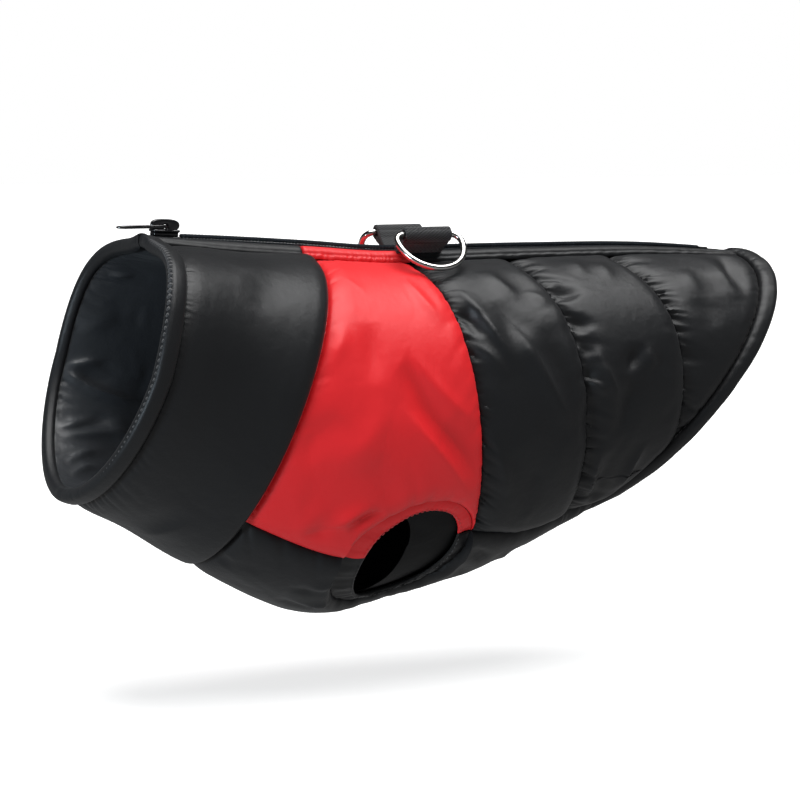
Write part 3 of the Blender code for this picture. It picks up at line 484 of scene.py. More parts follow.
def folded(profile, thickness=0.35):
    """The closed section of a thin cloth along a profile: its own points, then back along points
    that lie the thickness to one side of it."""
    heading = unit(np.gradient(profile, axis=0))
    inner = profile + thickness * np.stack([-heading[:, 1], heading[:, 0]], axis=-1)
    return np.concatenate([profile, inner[::-1]])


def circles(first, second, count):
    """Points round ellipses, count of them, whose half axes are two sets of vectors."""
    turn = (np.arange(count) * 2 * PI / count)[:, None]
    return np.cos(turn) * first[..., None, :] + np.sin(turn) * second[..., None, :]


def stitches(path, out, length=2.5, gap=0.8, radius=0.24, lift=0.2):
    """Threads along a path: short round bars that bow up from the cloth and dip in at their ends.
    path and out are points and the unit vectors away from the cloth."""
    run = distances(path)
    count = max(int(run[-1] // (length + gap)), 1)
    share = np.array((0.0, 0.1, 0.5, 0.9, 1.0))
    at = (np.arange(count)[:, None] + 0.5) * run[-1] / count + (share - 0.5) * length
    middle = np.stack([np.interp(at, run, path[:, k]) for k in range(3)], axis=-1)
    away = np.stack([np.interp(at, run, out[:, k]) for k in range(3)], axis=-1)
    middle = middle + away * (lift * np.sin(PI * share) - 0.1)[:, None]
    aside = unit(np.cross(unit(np.gradient(middle, axis=1)), away))
    size = radius * np.array((0.4, 0.9, 1.0, 0.9, 0.4))[:, None, None]
    return middle[:, :, None] + size * circles(aside, away, 6)


def surface_stitches(angle, station, depth, **sizes):
    """Stitches along a line on the coat."""
    angle, station = np.broadcast_arrays(np.asarray(angle, float), np.asarray(station, float))
    depth = np.broadcast_to(depth, angle.shape)
    return stitches(at_depth(angle, station, depth), normals(angle, station), **sizes)


def tube(path, radius, count, flat_normal):
    """Loops of a round tube along a closed path in a plane, to which flat_normal is square."""
    ends = np.concatenate([path[-1:], path, path[:1]])
    heading = unit(ends[2:] - ends[:-2])
    aside = unit(np.cross(heading, np.broadcast_to(flat_normal, heading.shape)))
    return path[:, None] + radius * circles(aside, np.cross(aside, heading), count)


# ---------------------------------------------------------------- materials


class Value:
    """A number in a material. Arithmetic on it adds the Math nodes."""

    def __init__(self, finish, socket):
        self.finish, self.socket = finish, socket

    def math(self, operation, *others):
        inputs = dict(enumerate((self, *others)))
        return self.finish.node("ShaderNodeMath", {"operation": operation}, inputs)

    def __add__(self, other):
        return self.math("ADD", other)

    def __sub__(self, other):
        return self.math("SUBTRACT", other)

    def __mul__(self, other):
        return self.math("MULTIPLY", other)

    def wave(self, length):
        """A sine that repeats at that length."""
        return (self * (2 * PI / length)).math("SINE")

    __radd__, __rmul__ = __add__, __mul__


class Finish:
    """A material being put together round one Principled shader."""

    def __init__(self, name, **sockets):
        self.material = bpy.data.materials.new(name)
        self.material.use_nodes = True
        self.tree = self.material.node_tree
        self.shader = self.tree.nodes["Principled BSDF"]
        self.set(**sockets)

    def set(self, **sockets):
        """Sets or links the shader's sockets; a name's underscores stand for spaces."""
        for name, value in sockets.items():
            self.join(self.shader.inputs[name.replace("_", " ")], value)

    def join(self, socket, value):
        if isinstance(value, Value):
            self.tree.links.new(value.socket, socket)
        else:
            socket.default_value = value

    def node(self, kind, settings=None, inputs=None, out=0):
        """Adds a node: its settings first, then the values or links of its sockets."""
        node = self.tree.nodes.new(kind)
        for name, value in (settings or {}).items():
            setattr(node, name, value)
        for key, value in (inputs or {}).items():
            self.join(node.inputs[key], value)
        return Value(self, node.outputs[out])

    def noise(self, where, scale, detail):
        return self.node("ShaderNodeTexNoise", {}, {"Vector": where, "Scale": scale, "Detail": detail}, "Fac")

    def place(self, source):
        """Object coordinates, or the piece's own UV map in metres."""
        return self.node("ShaderNodeTexCoord", {}, {}, source)

    def stretch(self, where, scale, turn=0.0):
        settings = {"Vector": where, "Scale": scale, "Rotation": (0, 0, turn)}
        return self.node("ShaderNodeMapping", {}, settings)

    def parts(self, where):
        """The x and y of a vector, as numbers."""
        node = self.tree.nodes.new("ShaderNodeSeparateXYZ")
        self.join(node.inputs[0], where)
        return Value(self, node.outputs[0]), Value(self, node.outputs[1])

    def mix(self, factor, first, second):
        """A colour between two colours."""
        inputs = {0: factor, 6: first, 7: second}
        return self.node("ShaderNodeMix", {"data_type": "RGBA"}, inputs, 2)

    def bump(self, height, distance, strength, normal=None):
        inputs = {"Height": height, "Distance": distance, "Strength": strength}
        if normal:
            inputs["Normal"] = normal
        return self.node("ShaderNodeBump", {}, inputs)


def rgba(red, green, blue):
    return (red, green, blue, 1.0)


THREAD_PITCH, TWIST_PITCH = 0.00042, 0.0006  # metres, of the shell's threads and of a sewing thread's plies


def weave(finish, where, pitch):
    """Plain weave: the product of two sines, one for each thread direction."""
    across, along = finish.parts(where)
    return across.wave(pitch) * along.wave(pitch)


def shell_cloth(name, dark, light, rough, gloss, sheen):
    """Nylon taffeta: a fine weave, small crinkles, and a satin sheen that varies a little."""
    finish = Finish(name, Sheen_Weight=sheen, Sheen_Roughness=0.45, Specular_IOR_Level=gloss)
    cloth, spot = finish.place("UV"), finish.place("Object")
    crinkle = finish.noise(spot, 150.0, 3.0)
    patch = finish.noise(spot, 28.0, 2.0)
    grain = finish.noise(finish.stretch(cloth, (1.0, 5.0, 1.0)), 900.0, 1.0)
    finish.set(Base_Color=finish.mix(patch * 0.6 + grain * 0.4, dark, light))
    finish.set(Roughness=rough + (patch - 0.5) * 0.10 + (grain - 0.5) * 0.06)
    soft = finish.bump(crinkle, 0.0005, 0.55)
    fine = finish.bump(weave(finish, cloth, THREAD_PITCH) * 0.5 + grain * 0.5, 0.00004, 0.35, soft)
    finish.set(Normal=fine)
    return finish.material


def webbing_cloth(name, dark, light, rib):
    """Ribbed webbing: diagonal twill ribs on the strap, with a dull thread grain."""
    finish = Finish(name, Specular_IOR_Level=0.4, Sheen_Weight=0.15, Sheen_Roughness=0.5)
    cloth = finish.place("UV")
    across, along = finish.parts(finish.stretch(cloth, (1.0, 1.0, 1.0), math.radians(35)))
    twill, cord = across.wave(rib) * 0.5 + 0.5, along.wave(rib * 0.6) * 0.5 + 0.5
    grain = finish.noise(cloth, 2500.0, 2.0)
    finish.set(Base_Color=finish.mix(twill * 0.7 + grain * 0.3, dark, light))
    finish.set(Roughness=0.62 + grain * 0.2)
    finish.set(Normal=finish.bump(twill * 0.7 + cord * 0.3 + grain * 0.2, 0.0004, 0.9))
    return finish.material


def hard_gloss(name, colour, rough, metallic=0.0, coat=0.0, wear=0.0, light=None):
    """Moulded or plated pieces: gloss that small scratches and handling make uneven."""
    finish = Finish(name, Metallic=metallic, Coat_Weight=coat, Coat_Roughness=0.08)
    spot = finish.place("Object")
    smear = finish.noise(spot, 220.0, 3.0)
    scratch = finish.noise(finish.stretch(spot, (1.0, 9.0, 3.0)), 900.0, 2.0)
    finish.set(Roughness=rough + (smear - 0.5) * wear + (scratch - 0.5) * wear * 0.6)
    finish.set(Base_Color=finish.mix(smear, colour, light or colour))
    finish.set(Normal=finish.bump(scratch, 0.00002, 0.3))
    return finish.material


def thread(name, dark, light):
    """Sewing thread: two twisted plies."""
    finish = Finish(name, Specular_IOR_Level=0.5, Roughness=0.5, Sheen_Weight=0.2)
    across, along = finish.parts(finish.place("UV"))
    twist = (across + along).wave(TWIST_PITCH) * 0.5 + 0.5
    finish.set(Base_Color=finish.mix(twist, dark, light))
    finish.set(Normal=finish.bump(twist, 0.00008, 0.8))
    return finish.material


# Name, the two shades of the yarn (for the body's lining, darkened as painted shade), then roughness, gloss
# and sheen.
BLACK = shell_cloth("black_taffeta", rgba(0.0065, 0.007, 0.008), rgba(0.0105, 0.011, 0.012), 0.43, 0.27, 0.03)
RED = shell_cloth("red_taffeta", rgba(0.56, 0.008, 0.012), rgba(0.645, 0.012, 0.016), 0.46, 0.31, 0.03)
# The body's lining is the same black lining as the collar's, painted far darker and duller as shade for the
# inside of the body.
SHADED_LINING = shell_cloth(
    "body_lining_painted_shade", rgba(0.003, 0.0032, 0.0036), rgba(0.006, 0.0064, 0.007), 0.6, 0.15, 0.0
)
LINING = shell_cloth("lining_taffeta", rgba(0.019, 0.021, 0.024), rgba(0.030, 0.033, 0.037), 0.38, 0.5, 0.04)
WEBBING = webbing_cloth("strap_webbing", rgba(0.004, 0.004, 0.0045), rgba(0.022, 0.023, 0.025), 0.0012)
TAPE = webbing_cloth("zip_tape_weave", rgba(0.007, 0.007, 0.008), rgba(0.014, 0.014, 0.015), 0.0007)
TEETH = hard_gloss(
    "tooth_plastic", rgba(0.009, 0.011, 0.014), 0.34, wear=0.12, light=rgba(0.022, 0.027, 0.034)
)
ENAMEL = hard_gloss("slider_enamel", rgba(0.006, 0.006, 0.007), 0.20, coat=0.6, wear=0.10)
DARK_STEEL = hard_gloss("stop_enamel", rgba(0.010, 0.010, 0.011), 0.25, 0.3, wear=0.1)
STEEL = hard_gloss("plated_steel", rgba(0.62, 0.61, 0.60), 0.20, 1.0, wear=0.10, light=rgba(0.70, 0.69, 0.67))
BLACK_THREAD = thread("black_thread", rgba(0.010, 0.010, 0.011), rgba(0.030, 0.030, 0.032))
RED_THREAD = thread("red_thread", rgba(0.36, 0.012, 0.015), rgba(0.55, 0.03, 0.035))


# ---------------------------------------------------------------- the panels

YOKE_COLUMNS, YOKE_ROWS, LEG_ROWS = 190, 42, 76
FLANK_COLUMNS, CHANNEL_ROWS = 230, 54
UNDER_COLUMNS, UNDER_CHANNEL_ROWS = 120, 24


def flank_angles(station, low, columns):
    """Angles from the zip's welt down to the low edge."""
    top = angle_of(PANEL_TOP, station)
    return top + shares(columns) * (low - top)


def rows_before_leg(rows, front=LEG_FRONT):
    """Stations from the collar seam, past the collar's lip, to just short of the leg hole."""
    past_lip = np.linspace(COLLAR + LIP_REST, front, rows)
    return np.concatenate([COLLAR + STATION_GAP + (LIP_REST - STATION_GAP) * np.arange(4) / 4, past_lip[:-1]])


def hole_edge(turn, inset, sag):
    """The leg hole's outline, narrowed by an inset, and at its back end by a sag in millimetres."""
    angle, station = leg_curve(turn, inset)
    return angle, station - sag * (1 - np.cos(turn)) / 2


def yoke_grid(columns=YOKE_COLUMNS, rows=YOKE_ROWS, leg_rows=LEG_ROWS, inset=0.0, sag=0.0):
    """(angle, station) of a side from the collar to the yoke seam, over the leg hole."""
    before = rows_before_leg(rows, LEG_FRONT + CUFF_WIDTH_STATION * inset)
    over_angle, over_station = hole_edge(np.linspace(0, PI, leg_rows + 1), inset, sag)
    over_station = np.minimum(over_station, YOKE - STATION_GAP)
    station = np.concatenate([before, over_station])
    low = np.concatenate([side_seam(before) - ANGLE_GAP, over_angle])
    angle = flank_angles(station[:, None], low[:, None], columns)
    return angle, np.broadcast_to(station[:, None], angle.shape)


def rear_grid(first, edge_angle, rows):
    """(angle, station) back to the hem binding, in channels parted by the quilting lines."""
    channels = len(QUILT_LINES) + 1
    step = shares(rows, 0.75)
    share = np.concatenate([c + step[:-1] for c in range(channels)] + [[channels]])[:, None]
    station = np.broadcast_to(first + (HEM - first) * share / channels, (len(share), 1))
    angle = edge_angle(station)
    for _ in range(6):
        last = binding_edge(angle[-1]) - STATION_GAP
        stops = [np.full(last.shape, first)]
        for c, line in enumerate(QUILT_LINES, 1):
            seam = quilt_station(line, angle[c * rows])
            stops.append(np.minimum(seam, last - (channels - c) * SHORTEST_CHANNEL))
        stops = np.stack(stops + [last])
        low = np.minimum(share.astype(int), channels - 1)
        before = np.take_along_axis(stops, np.broadcast_to(low, angle.shape), 0)
        after = np.take_along_axis(stops, np.broadcast_to(low + 1, angle.shape), 0)
        station = before + (share - low) * (after - before)
        angle = edge_angle(station)
    return angle, station


def flank_grid(columns=FLANK_COLUMNS, rows=CHANNEL_ROWS, first=YOKE + STATION_GAP):
    """(angle, station) of a flank panel, from the yoke seam to the hem binding."""
    edge = lambda station: flank_angles(station, side_seam(station) - ANGLE_GAP, columns)
    return rear_grid(first, edge, rows)


def under_grid(
    columns=UNDER_COLUMNS, rows=YOKE_ROWS, leg_rows=LEG_ROWS, channel=UNDER_CHANNEL_ROWS, inset=0.0, sag=0.0
):
    """(angle, station) of the under panel, from side seam to side seam between the leg holes."""
    before = rows_before_leg(rows, LEG_FRONT + CUFF_WIDTH_STATION * inset)
    turn = np.linspace(0, PI, leg_rows + 1)
    edge = np.concatenate([side_seam(before) + ANGLE_GAP, hole_edge(-turn, inset, sag)[0]])
    across = 2 * shares(columns) - 1
    front_angle = PI + across * (PI - edge)[:, None]
    beside = np.minimum(hole_edge(turn, inset, sag)[1], LEG_REAR)
    front_station = np.broadcast_to(np.concatenate([before, beside])[:, None], front_angle.shape)
    edge_angle = lambda station: PI + across * (PI - side_seam(station) - ANGLE_GAP)
    rear_angle, rear_station = rear_grid(beside[-1], edge_angle, channel)
    angle = np.concatenate([front_angle, rear_angle[1:]])
    return angle, np.concatenate([front_station, rear_station[1:]])


def arc_to(angle, edge, station):
    """Millimetres round the girth between two angles."""
    return np.abs(edge - angle) * section(station)["half_width"]


def swell(seams):
    """How far the padding has risen: the product of a quarter-round rise from each seam."""
    total = 1.0
    for distance, run in seams:
        total = total * rise(distance, run)
    return total


def place(side, angle, station, depth):
    """Points on the left side as the angle says, or on the right side at its mirror angle."""
    return at_depth(angle if side == "left" else 2 * PI - angle, station, depth)


PLAIN_COLUMNS = 15  # points across a panel's plain inner wall


def padded_loops(side, angle, station, depth):
    """A panel's loops: the padded outside, then back along its plain inside, in few points."""
    picks = np.rint(np.linspace(0, angle.shape[1] - 1, PLAIN_COLUMNS)).astype(int)
    inside = place(side, angle[:, picks], station[:, picks], np.full((len(angle), len(picks)), LINING_DEPTH))
    return two_sides(place(side, angle, station, depth), inside)


def build_yoke(side, seed):
    """A red yoke: padded, folded over the leg hole, and gathered along its seams."""
    angle, station = yoke_grid()
    behind, before = station - COLLAR - LIP_REST, YOKE - station
    top, edge = arc_to(angle, angle[:, :1], station), arc_to(angle, angle[:, -1:], station)
    raised = swell(((behind, 14.0), (before, 10.0), (top, 7.0), (edge, 10.0)))
    table = YOKE_FOLDS if side == "left" else varied(YOKE_FOLDS, seed)
    table = list(table) + soft_folds(seed + 1, 20, (20, 120), (-85, -2), 0.4)
    depth = SEAM_DEPTH * (1 - raised) + fold_relief(angle, station, table) * np.minimum(raised * 1.2, 1)
    down = angle * GIRTH
    depth += all_gathers(
        (down, before, seed + 2, 2.7, 2.4, 0.45, 0.5),
        (down, before, seed + 5, 8.0, 7.0, 0.5, 0.6),
        (down, behind + 2, seed + 3, 4.6, 5.0, 0.5, -0.6),
        (station, top, seed + 6, 5.0, 4.0, 0.5, 0.4),
    )
    depth += (station > LEG_FRONT) * gathers(station, edge, seed + 4, 6.5, 5.0, 0.55, 0.2)
    obj = cloth_for("yoke_" + side, padded_loops(side, angle, station, depth), RED, angle.shape[1])


def build_flank(side, seed):
    """A flank panel in three padded channels, gathered along the quilting lines and the seams."""
    angle, station = flank_grid()
    point = outside(angle, station)
    top, edge = arc_to(angle, angle[:, :1], station), arc_to(angle, angle[:, -1:], station)
    offsets = [quilt_offset(line, point) for line in QUILT_LINES]
    from_yoke = station - YOKE
    behind = np.min([from_yoke, *[np.where(offset > 0, offset, 99.0) for offset in offsets]], axis=0)
    before = np.min([np.where(offset < 0, -offset, 99.0) for offset in offsets], axis=0)
    to_hem = (binding_edge(angle) - station) * station_pace(angle, station)
    raised = swell(((behind, 18.0), (before, 9.0), (to_hem, 10.0), (top, 6.0), (edge, 9.0)))
    table = FLANK_FOLDS if side == "left" else varied(FLANK_FOLDS, seed)
    table = list(table) + soft_folds(seed + 1, 48, (14, 140), (8, 128), 0.5)
    depth = SEAM_DEPTH * (1 - raised) + fold_relief(angle, station, table) * np.minimum(raised * 1.25, 1)
    down = angle * GIRTH
    for k, offset in enumerate(offsets):
        past, short = np.where(offset > -0.4, offset, 99.0), np.where(offset < 0.4, -offset, 99.0)
        depth += all_gathers(
            (down, past, seed + 3 + k, 3.2, 4.2, 1.1, 0.3),
            (down, past, seed + 5 + k, 9.0, 8.0, 1.7, 0.35),
            (down, short, seed + 7 + k, 4.5, 2.4, 0.3, 0.0),
        )
    depth += all_gathers(
        (down, from_yoke, seed + 2, 2.5, 3.6, 1.0, 0.5),
        (down, from_yoke, seed + 1, 7.0, 6.0, 0.8, 0.6),
        (down, to_hem, seed + 9, 5.0, 4.0, 0.6, 0.3),
        (station, top, seed + 10, 7.0, 3.5, 0.35, 0.3),
        (station, edge, seed + 11, 9.0, 4.0, 0.4, 0.0),
    )
    loops = padded_loops(side, angle, station, np.minimum(depth, LINING_DEPTH - 0.6))
    cloth_for("flank_" + side, loops, BLACK, angle.shape[1])


def build_under_panel():
    """The chest and belly, gathered along both side seams, with folds of its own on each side."""
    angle, station = under_grid()
    to_hem = (binding_edge(angle) - station) * station_pace(angle, station)
    left, right = arc_to(angle, angle[:, :1], station), arc_to(angle, angle[:, -1:], station)
    raised = swell(((station - COLLAR - LIP_REST, 9.0), (to_hem, 10.0), (left, 9.0), (right, 9.0)))
    table = list(UNDER_FOLDS) + soft_folds(71, 16, (148, 176), (-82, 50), 0.5)
    other = varied(UNDER_FOLDS, 72) + soft_folds(73, 16, (148, 176), (-82, 50), 0.5)
    relief = round_relief(angle, station, table, other) * rise(np.abs(angle - PI) * GIRTH, 8.0)
    depth = SEAM_DEPTH * (1 - raised) + relief * np.minimum(raised * 1.2, 1)
    depth += all_gathers(
        (station, left, 75, 6.0, 6.0, 1.0, 0.3),
        (station, left, 77, 2.6, 2.4, 0.5, 0.0),
        (station, right, 76, 6.0, 6.0, 1.0, 0.3),
        (station, right, 78, 2.6, 2.4, 0.5, 0.0),
        (angle * GIRTH, to_hem, 79, 5.0, 4.0, 0.4, 0.0),
    )
    loops = padded_loops("left", angle, station, np.minimum(depth, LINING_DEPTH - 0.6))
    cloth_for("under_panel", loops, BLACK, angle.shape[1])


LINING_SKIN, BODY_LINING_DEPTH = 0.35, 6.7
LINING_INSET, LINING_SAG = 0.9, 17.0  # round the leg hole, and how far it hangs into its back end
GUARD = (-7.0, -8.0)  # the linings' edges under the zip, the left one past it, the right one short of it
UNDER_BINDING, SEAM_LAP = 3.0, 3.0  # how far linings run on under the hem binding and past the side seams
LINING_ROWS, LINING_LEG_ROWS = 18, 40
SIDE_LINING_COLUMNS, SIDE_LINING_CHANNEL_ROWS = 63, 22
UNDER_LINING_COLUMNS, UNDER_LINING_CHANNEL_ROWS = 44, 12


def lining_loops(angle, station, relief, depth=BODY_LINING_DEPTH):
    """A thin sheet inside the walls; relief pushes it further in."""
    outer = at_depth(angle, station, depth + relief)
    return two_sides(outer, at_depth(angle, station, depth + relief + LINING_SKIN))


def build_side_lining(side, seed):
    """The lining of one side of the body, which runs on under the zip and the hem binding."""
    front = yoke_grid(SIDE_LINING_COLUMNS, LINING_ROWS, LINING_LEG_ROWS, LINING_INSET, LINING_SAG)
    rear = flank_grid(SIDE_LINING_COLUMNS, SIDE_LINING_CHANNEL_ROWS, front[1][-1, 0])
    angle, station = (np.concatenate([ahead, behind[1:]]) for ahead, behind in zip(front, rear))
    station[-1] += UNDER_BINDING
    guard = angle_of(GUARD[0] if side == "left" else -GUARD[1], station[:, :1])
    angle = np.concatenate([guard, angle], axis=1)
    station = np.concatenate([station[:, :1], station], axis=1)
    flat_edge = swell([(arc_to(angle, end, station), 10.0) for end in (angle[:, :1], angle[:, -1:])])
    creases = fold_relief(angle, station, soft_folds(seed, 60, (15, 140), (-90, 125), 1.2))
    turned = angle if side == "left" else 2 * PI - angle
    obj = piece("lining_" + side, lining_loops(turned, station, 0.5 + np.abs(creases) * flat_edge), SHADED_LINING)


def build_under_lining():
    """The lining of the belly, which laps past the side seams except beside the leg holes."""
    rows, narrowed = (LINING_ROWS, LINING_LEG_ROWS), (LINING_INSET, LINING_SAG)
    angle, station = under_grid(UNDER_LINING_COLUMNS, *rows, UNDER_LINING_CHANNEL_ROWS, *narrowed)
    station[-1] += UNDER_BINDING
    at_leg = len(rows_before_leg(LINING_ROWS))
    lap = np.full(len(angle), SEAM_LAP)
    lap[at_leg : at_leg + LINING_LEG_ROWS + 1] = 0.0
    angle[:, 0] -= lap / GIRTH
    angle[:, -1] += lap / GIRTH
    creases = fold_relief(mirrored(angle), station, soft_folds(99, 24, (146, 176), (-84, 50), 1.0))
    obj = piece("lining_under", lining_loops(angle, station, 1.0 + np.abs(creases)), SHADED_LINING)


# ---------------------------------------------------------------- collar and neck

# How many points each piece has along its length, and round its section or across.
COLLAR_TURNS, COLLAR_ROUND = 600, 92
COLLAR_LINING_TURNS, COLLAR_LINING_ROWS = 328, 64
BAND_TURNS, BAND_ROUND = 560, 30
OVERLOCK_TURNS, OVERLOCK_ROUND = 1300, 12
LINE_POINTS = 500  # along a row of stitches round the coat
LINING_EDGE_SHARE = 0.52  # how far down the neck band's inside the collar's lining starts
BAND_END, SLIDER_CLEARANCE = 0.9, 4.8  # from the zip to the band's ends and to its full width


def collar_angles(turns):
    """Angles round the collar from welt to welt."""
    return round_angles(PANEL_TOP, COLLAR, turns, 0.3)


def beside_welts(around, station):
    """The same angles, spread so that at every station their ends lie beside the welts."""
    level, top = float(angle_of(PANEL_TOP, COLLAR)), angle_of(PANEL_TOP, station)
    return top + (around - level) * (PI - top) / (PI - level)


def under_zip(angle, station, first, last):
    """The same grid with a row more at each end, that many millimetres off the zip, below its tapes."""
    first, last = angle_of(first, station[:1]), 2 * PI + angle_of(last, station[-1:])
    return np.concatenate([first, angle, last]), np.concatenate([station[:1], station, station[-1:]])


# The collar's outside: share of the way from band to seam, millimetres past that, and depth.
COLLAR_PROFILE = (
    (0.00, 0.0, 4.6), (0.00, 0.0, 3.4), (0.02, 0.0, 2.5), (0.07, 0.0, 1.3), (0.17, 0.0, 0.4),
    (0.36, 0.0, 0.0), (0.56, 0.0, -0.2), (0.76, 0.0, -0.9), (0.90, 0.0, -1.5), (1.00, 0.0, -1.4),
    (1.00, 3.0, -0.5), (1.00, LIP_OVERHANG, 1.1), (1.00, LIP_OVERHANG, 2.6),
    (1.00, 3.2, 3.7), (1.00, 0.5, 3.9),
)


def build_collar():
    """The stand collar, with a padded lip over the yokes and the chest."""
    around = collar_angles(COLLAR_TURNS)
    front, back = band_edge(around) + STATION_GAP, COLLAR - STATION_GAP
    span = float(np.mean(back - front))
    skin = through(np.array(COLLAR_PROFILE) * (span, 1, 1), COLLAR_ROUND) / (span, 1, 1)
    station = front + skin[:, 0] * (back - front) + skin[:, 1]
    angle = beside_welts(around, station)
    from_band = (station - front) * station_pace(angle, station)
    to_lip = COLLAR + LIP_OVERHANG - station
    open_skin = np.minimum(rise(from_band, 6.0), rise(to_lip, 8.0)) * (skin[:, 2] < 1.0)
    table = list(COLLAR_FOLDS) + soft_folds(31, 16, (18, 172), (-148, -94), 0.25)
    other = varied(COLLAR_FOLDS, 32) + soft_folds(33, 16, (18, 172), (-148, -94), 0.25)
    relief = round_relief(angle, station, table, other)
    puckers = gathers(angle * GIRTH, from_band, 34, 2.2, 2.0, 0.35, 0.3)
    low = rise(mirrored(angle) - math.radians(112), math.radians(30))
    puckers = puckers + low * gathers(angle * GIRTH, from_band, 35, 5.0, 8.0, 0.7, 0.5)
    swelling = skin[:, 2] * np.where(skin[:, 2] < 0, 1 - 0.8 * np.maximum(-np.cos(angle), 0), 1)
    to_welt = np.minimum(arc_to(angle, angle[:1], station), arc_to(angle, angle[-1:], station))
    tucked = 2.4 * (1 - rise(to_welt, 6.0)) * np.clip((3.0 - skin[:, 2]) / 2.0, 0, 1)
    depth = swelling + tucked + relief * open_skin + puckers * (skin[:, 1] <= 0)
    outer = at_depth(angle, station, depth)
    plain = station[:, :1] + (back - station[:, :1]) * np.linspace(0, 1, 8)
    inside = at_depth(beside_welts(around, plain), plain, np.full(plain.shape, 5.0))
    cloth_for("collar", two_sides(outer, inside), BLACK, station.shape[1])


# Wrinkles of the collar's lining on the right side, where the neck opening shows them.
LINING_FOLDS = (
    (97, -161, 102, -115, -5.2, 2.4, 2.9, 1.3, 0.5),
    (97, -161, 89, -139, 0.4, 2.8, 1.9, 1.5, 0.0),
    (99, -154, 97, -132, 0.0, 4.0, -1.2, 1.8, 0.0),
    (79, -160, 71, -141, -1.2, 4.0, 1.5, 1.8, 0.0),
    (51, -155, 46, -146, 0.0, 2.6, 1.5, 1.5, 0.0),
    (127, -159, 115, -136, 0.2, 2.4, 1.8, 1.5, 0.3),
    (131, -158, 116, -118, 0.0, 2.6, 2.1, 1.4, 0.4),
    (137, -157, 131, -136, 0.0, 2.4, 1.2, 1.5, 0.0),
    (146, -154, 129, -131, 1.1, 2.4, 1.8, 1.5, 0.0),
    (155, -152, 139, -132, 1.8, 2.4, 1.6, 1.5, 0.0),
    (166, -151, 151, -133, 0.0, 2.4, 1.4, 1.5, 0.0),
    (122, -150, 112, -126, 0.0, 4.0, -1.2, 1.8, 0.0),
    (110, -140, 132, -108, 3.0, 6.0, 1.2, 2.0, 0.0),
)


def build_collar_lining():
    """The satin lining inside the collar: thin, and puckered where the band's seam pulls it."""
    around = collar_angles(COLLAR_LINING_TURNS)
    start = NECK + LINING_EDGE_SHARE * (band_edge(around) - NECK)
    station = start + (COLLAR + 2.0 - start) * shares(COLLAR_LINING_ROWS, 0.5)
    angle, station = under_zip(beside_welts(around, station), station, *GUARD)
    away = station - station[:, :1]
    relief = round_relief(angle, station, varied(LINING_FOLDS, 41), LINING_FOLDS)
    relief += fold_relief(mirrored(angle), station, soft_folds(43, 30, (15, 170), (-156, -100), 0.8))
    relief = relief * rise(away, 5.0) - gathers(angle * GIRTH, away, 44, 3.0, 5.0, 0.7, 0.1)
    relief = np.maximum(relief + 0.8 * rise(away, 12.0), -0.1)
    obj = cloth_for("collar_lining", lining_loops(angle, station, relief, 5.9), LINING)


def band_angles(turns):
    """Angles round the neck band. Its ends nearly meet over the fronts of the zip's strips."""
    return round_angles(BAND_END, NECK, turns, 0.75)


# The band from its seam over its free edge and inside: share of its width from that edge, and depth.
BAND_PROFILE = (
    (1.00, 3.9), (0.98, 2.9), (0.92, 1.8), (0.80, 1.0), (0.60, 0.7), (0.34, 0.7), (0.16, 0.9),
    (0.06, 1.5), (0.01, 2.8), (0.00, 4.6), (0.06, 5.8), (0.20, 6.5), (0.45, 6.8), (0.55, 6.0),
)


def build_neck_band():
    """The folded band round the neck opening, narrower and higher where its ends meet at the zip."""
    angle = band_angles(BAND_TURNS)
    from_zip = np.minimum(arc_to(angle, 0 * angle, NECK), arc_to(angle, 0 * angle + 2 * PI, NECK))
    past_zip = rise(from_zip - SLIDER_CLEARANCE, 8.0)
    back = NECK + (band_edge(angle) - STATION_GAP - NECK) * (0.42 + 0.58 * past_zip)
    width = NECK_BAND_WIDTH
    skin = folded(through(np.array(BAND_PROFILE) * (width, 1), BAND_ROUND), 0.5)
    shown = np.arange(len(skin)) < BAND_ROUND
    face, back_face = shown * (skin[:, 1] < 3.5), shown * (skin[:, 1] > 5.8)
    station = NECK + skin[:, 0] / width * (back - NECK)
    angle = np.broadcast_to(angle, station.shape)
    from_groove = width - skin[:, 0] + 0 * angle
    over_zip = (1 - past_zip) * np.clip((5.0 - skin[:, 1]) / 3.0, 0, 1)
    down = angle * GIRTH
    depth = skin[:, 1] + 0.5 * over_zip + face * all_gathers(
        (down, from_groove, 51, 2.1, 1.6, 0.4, 0.2),
        (down, from_groove, 53, 9.0, 6.0, 0.25, 0.4),
    )
    inner_seam = np.abs(skin[:, 0] - 0.45 * width) + 0 * angle
    depth = depth - back_face * gathers(down, inner_seam, 52, 2.6, 1.6, 0.3, 0.0)
    obj = cloth_for("neck_band", at_depth(angle, station, depth), BLACK)


OVERLOCK_PITCH, OVERLOCK_RADIUS = 3.0, 1.35


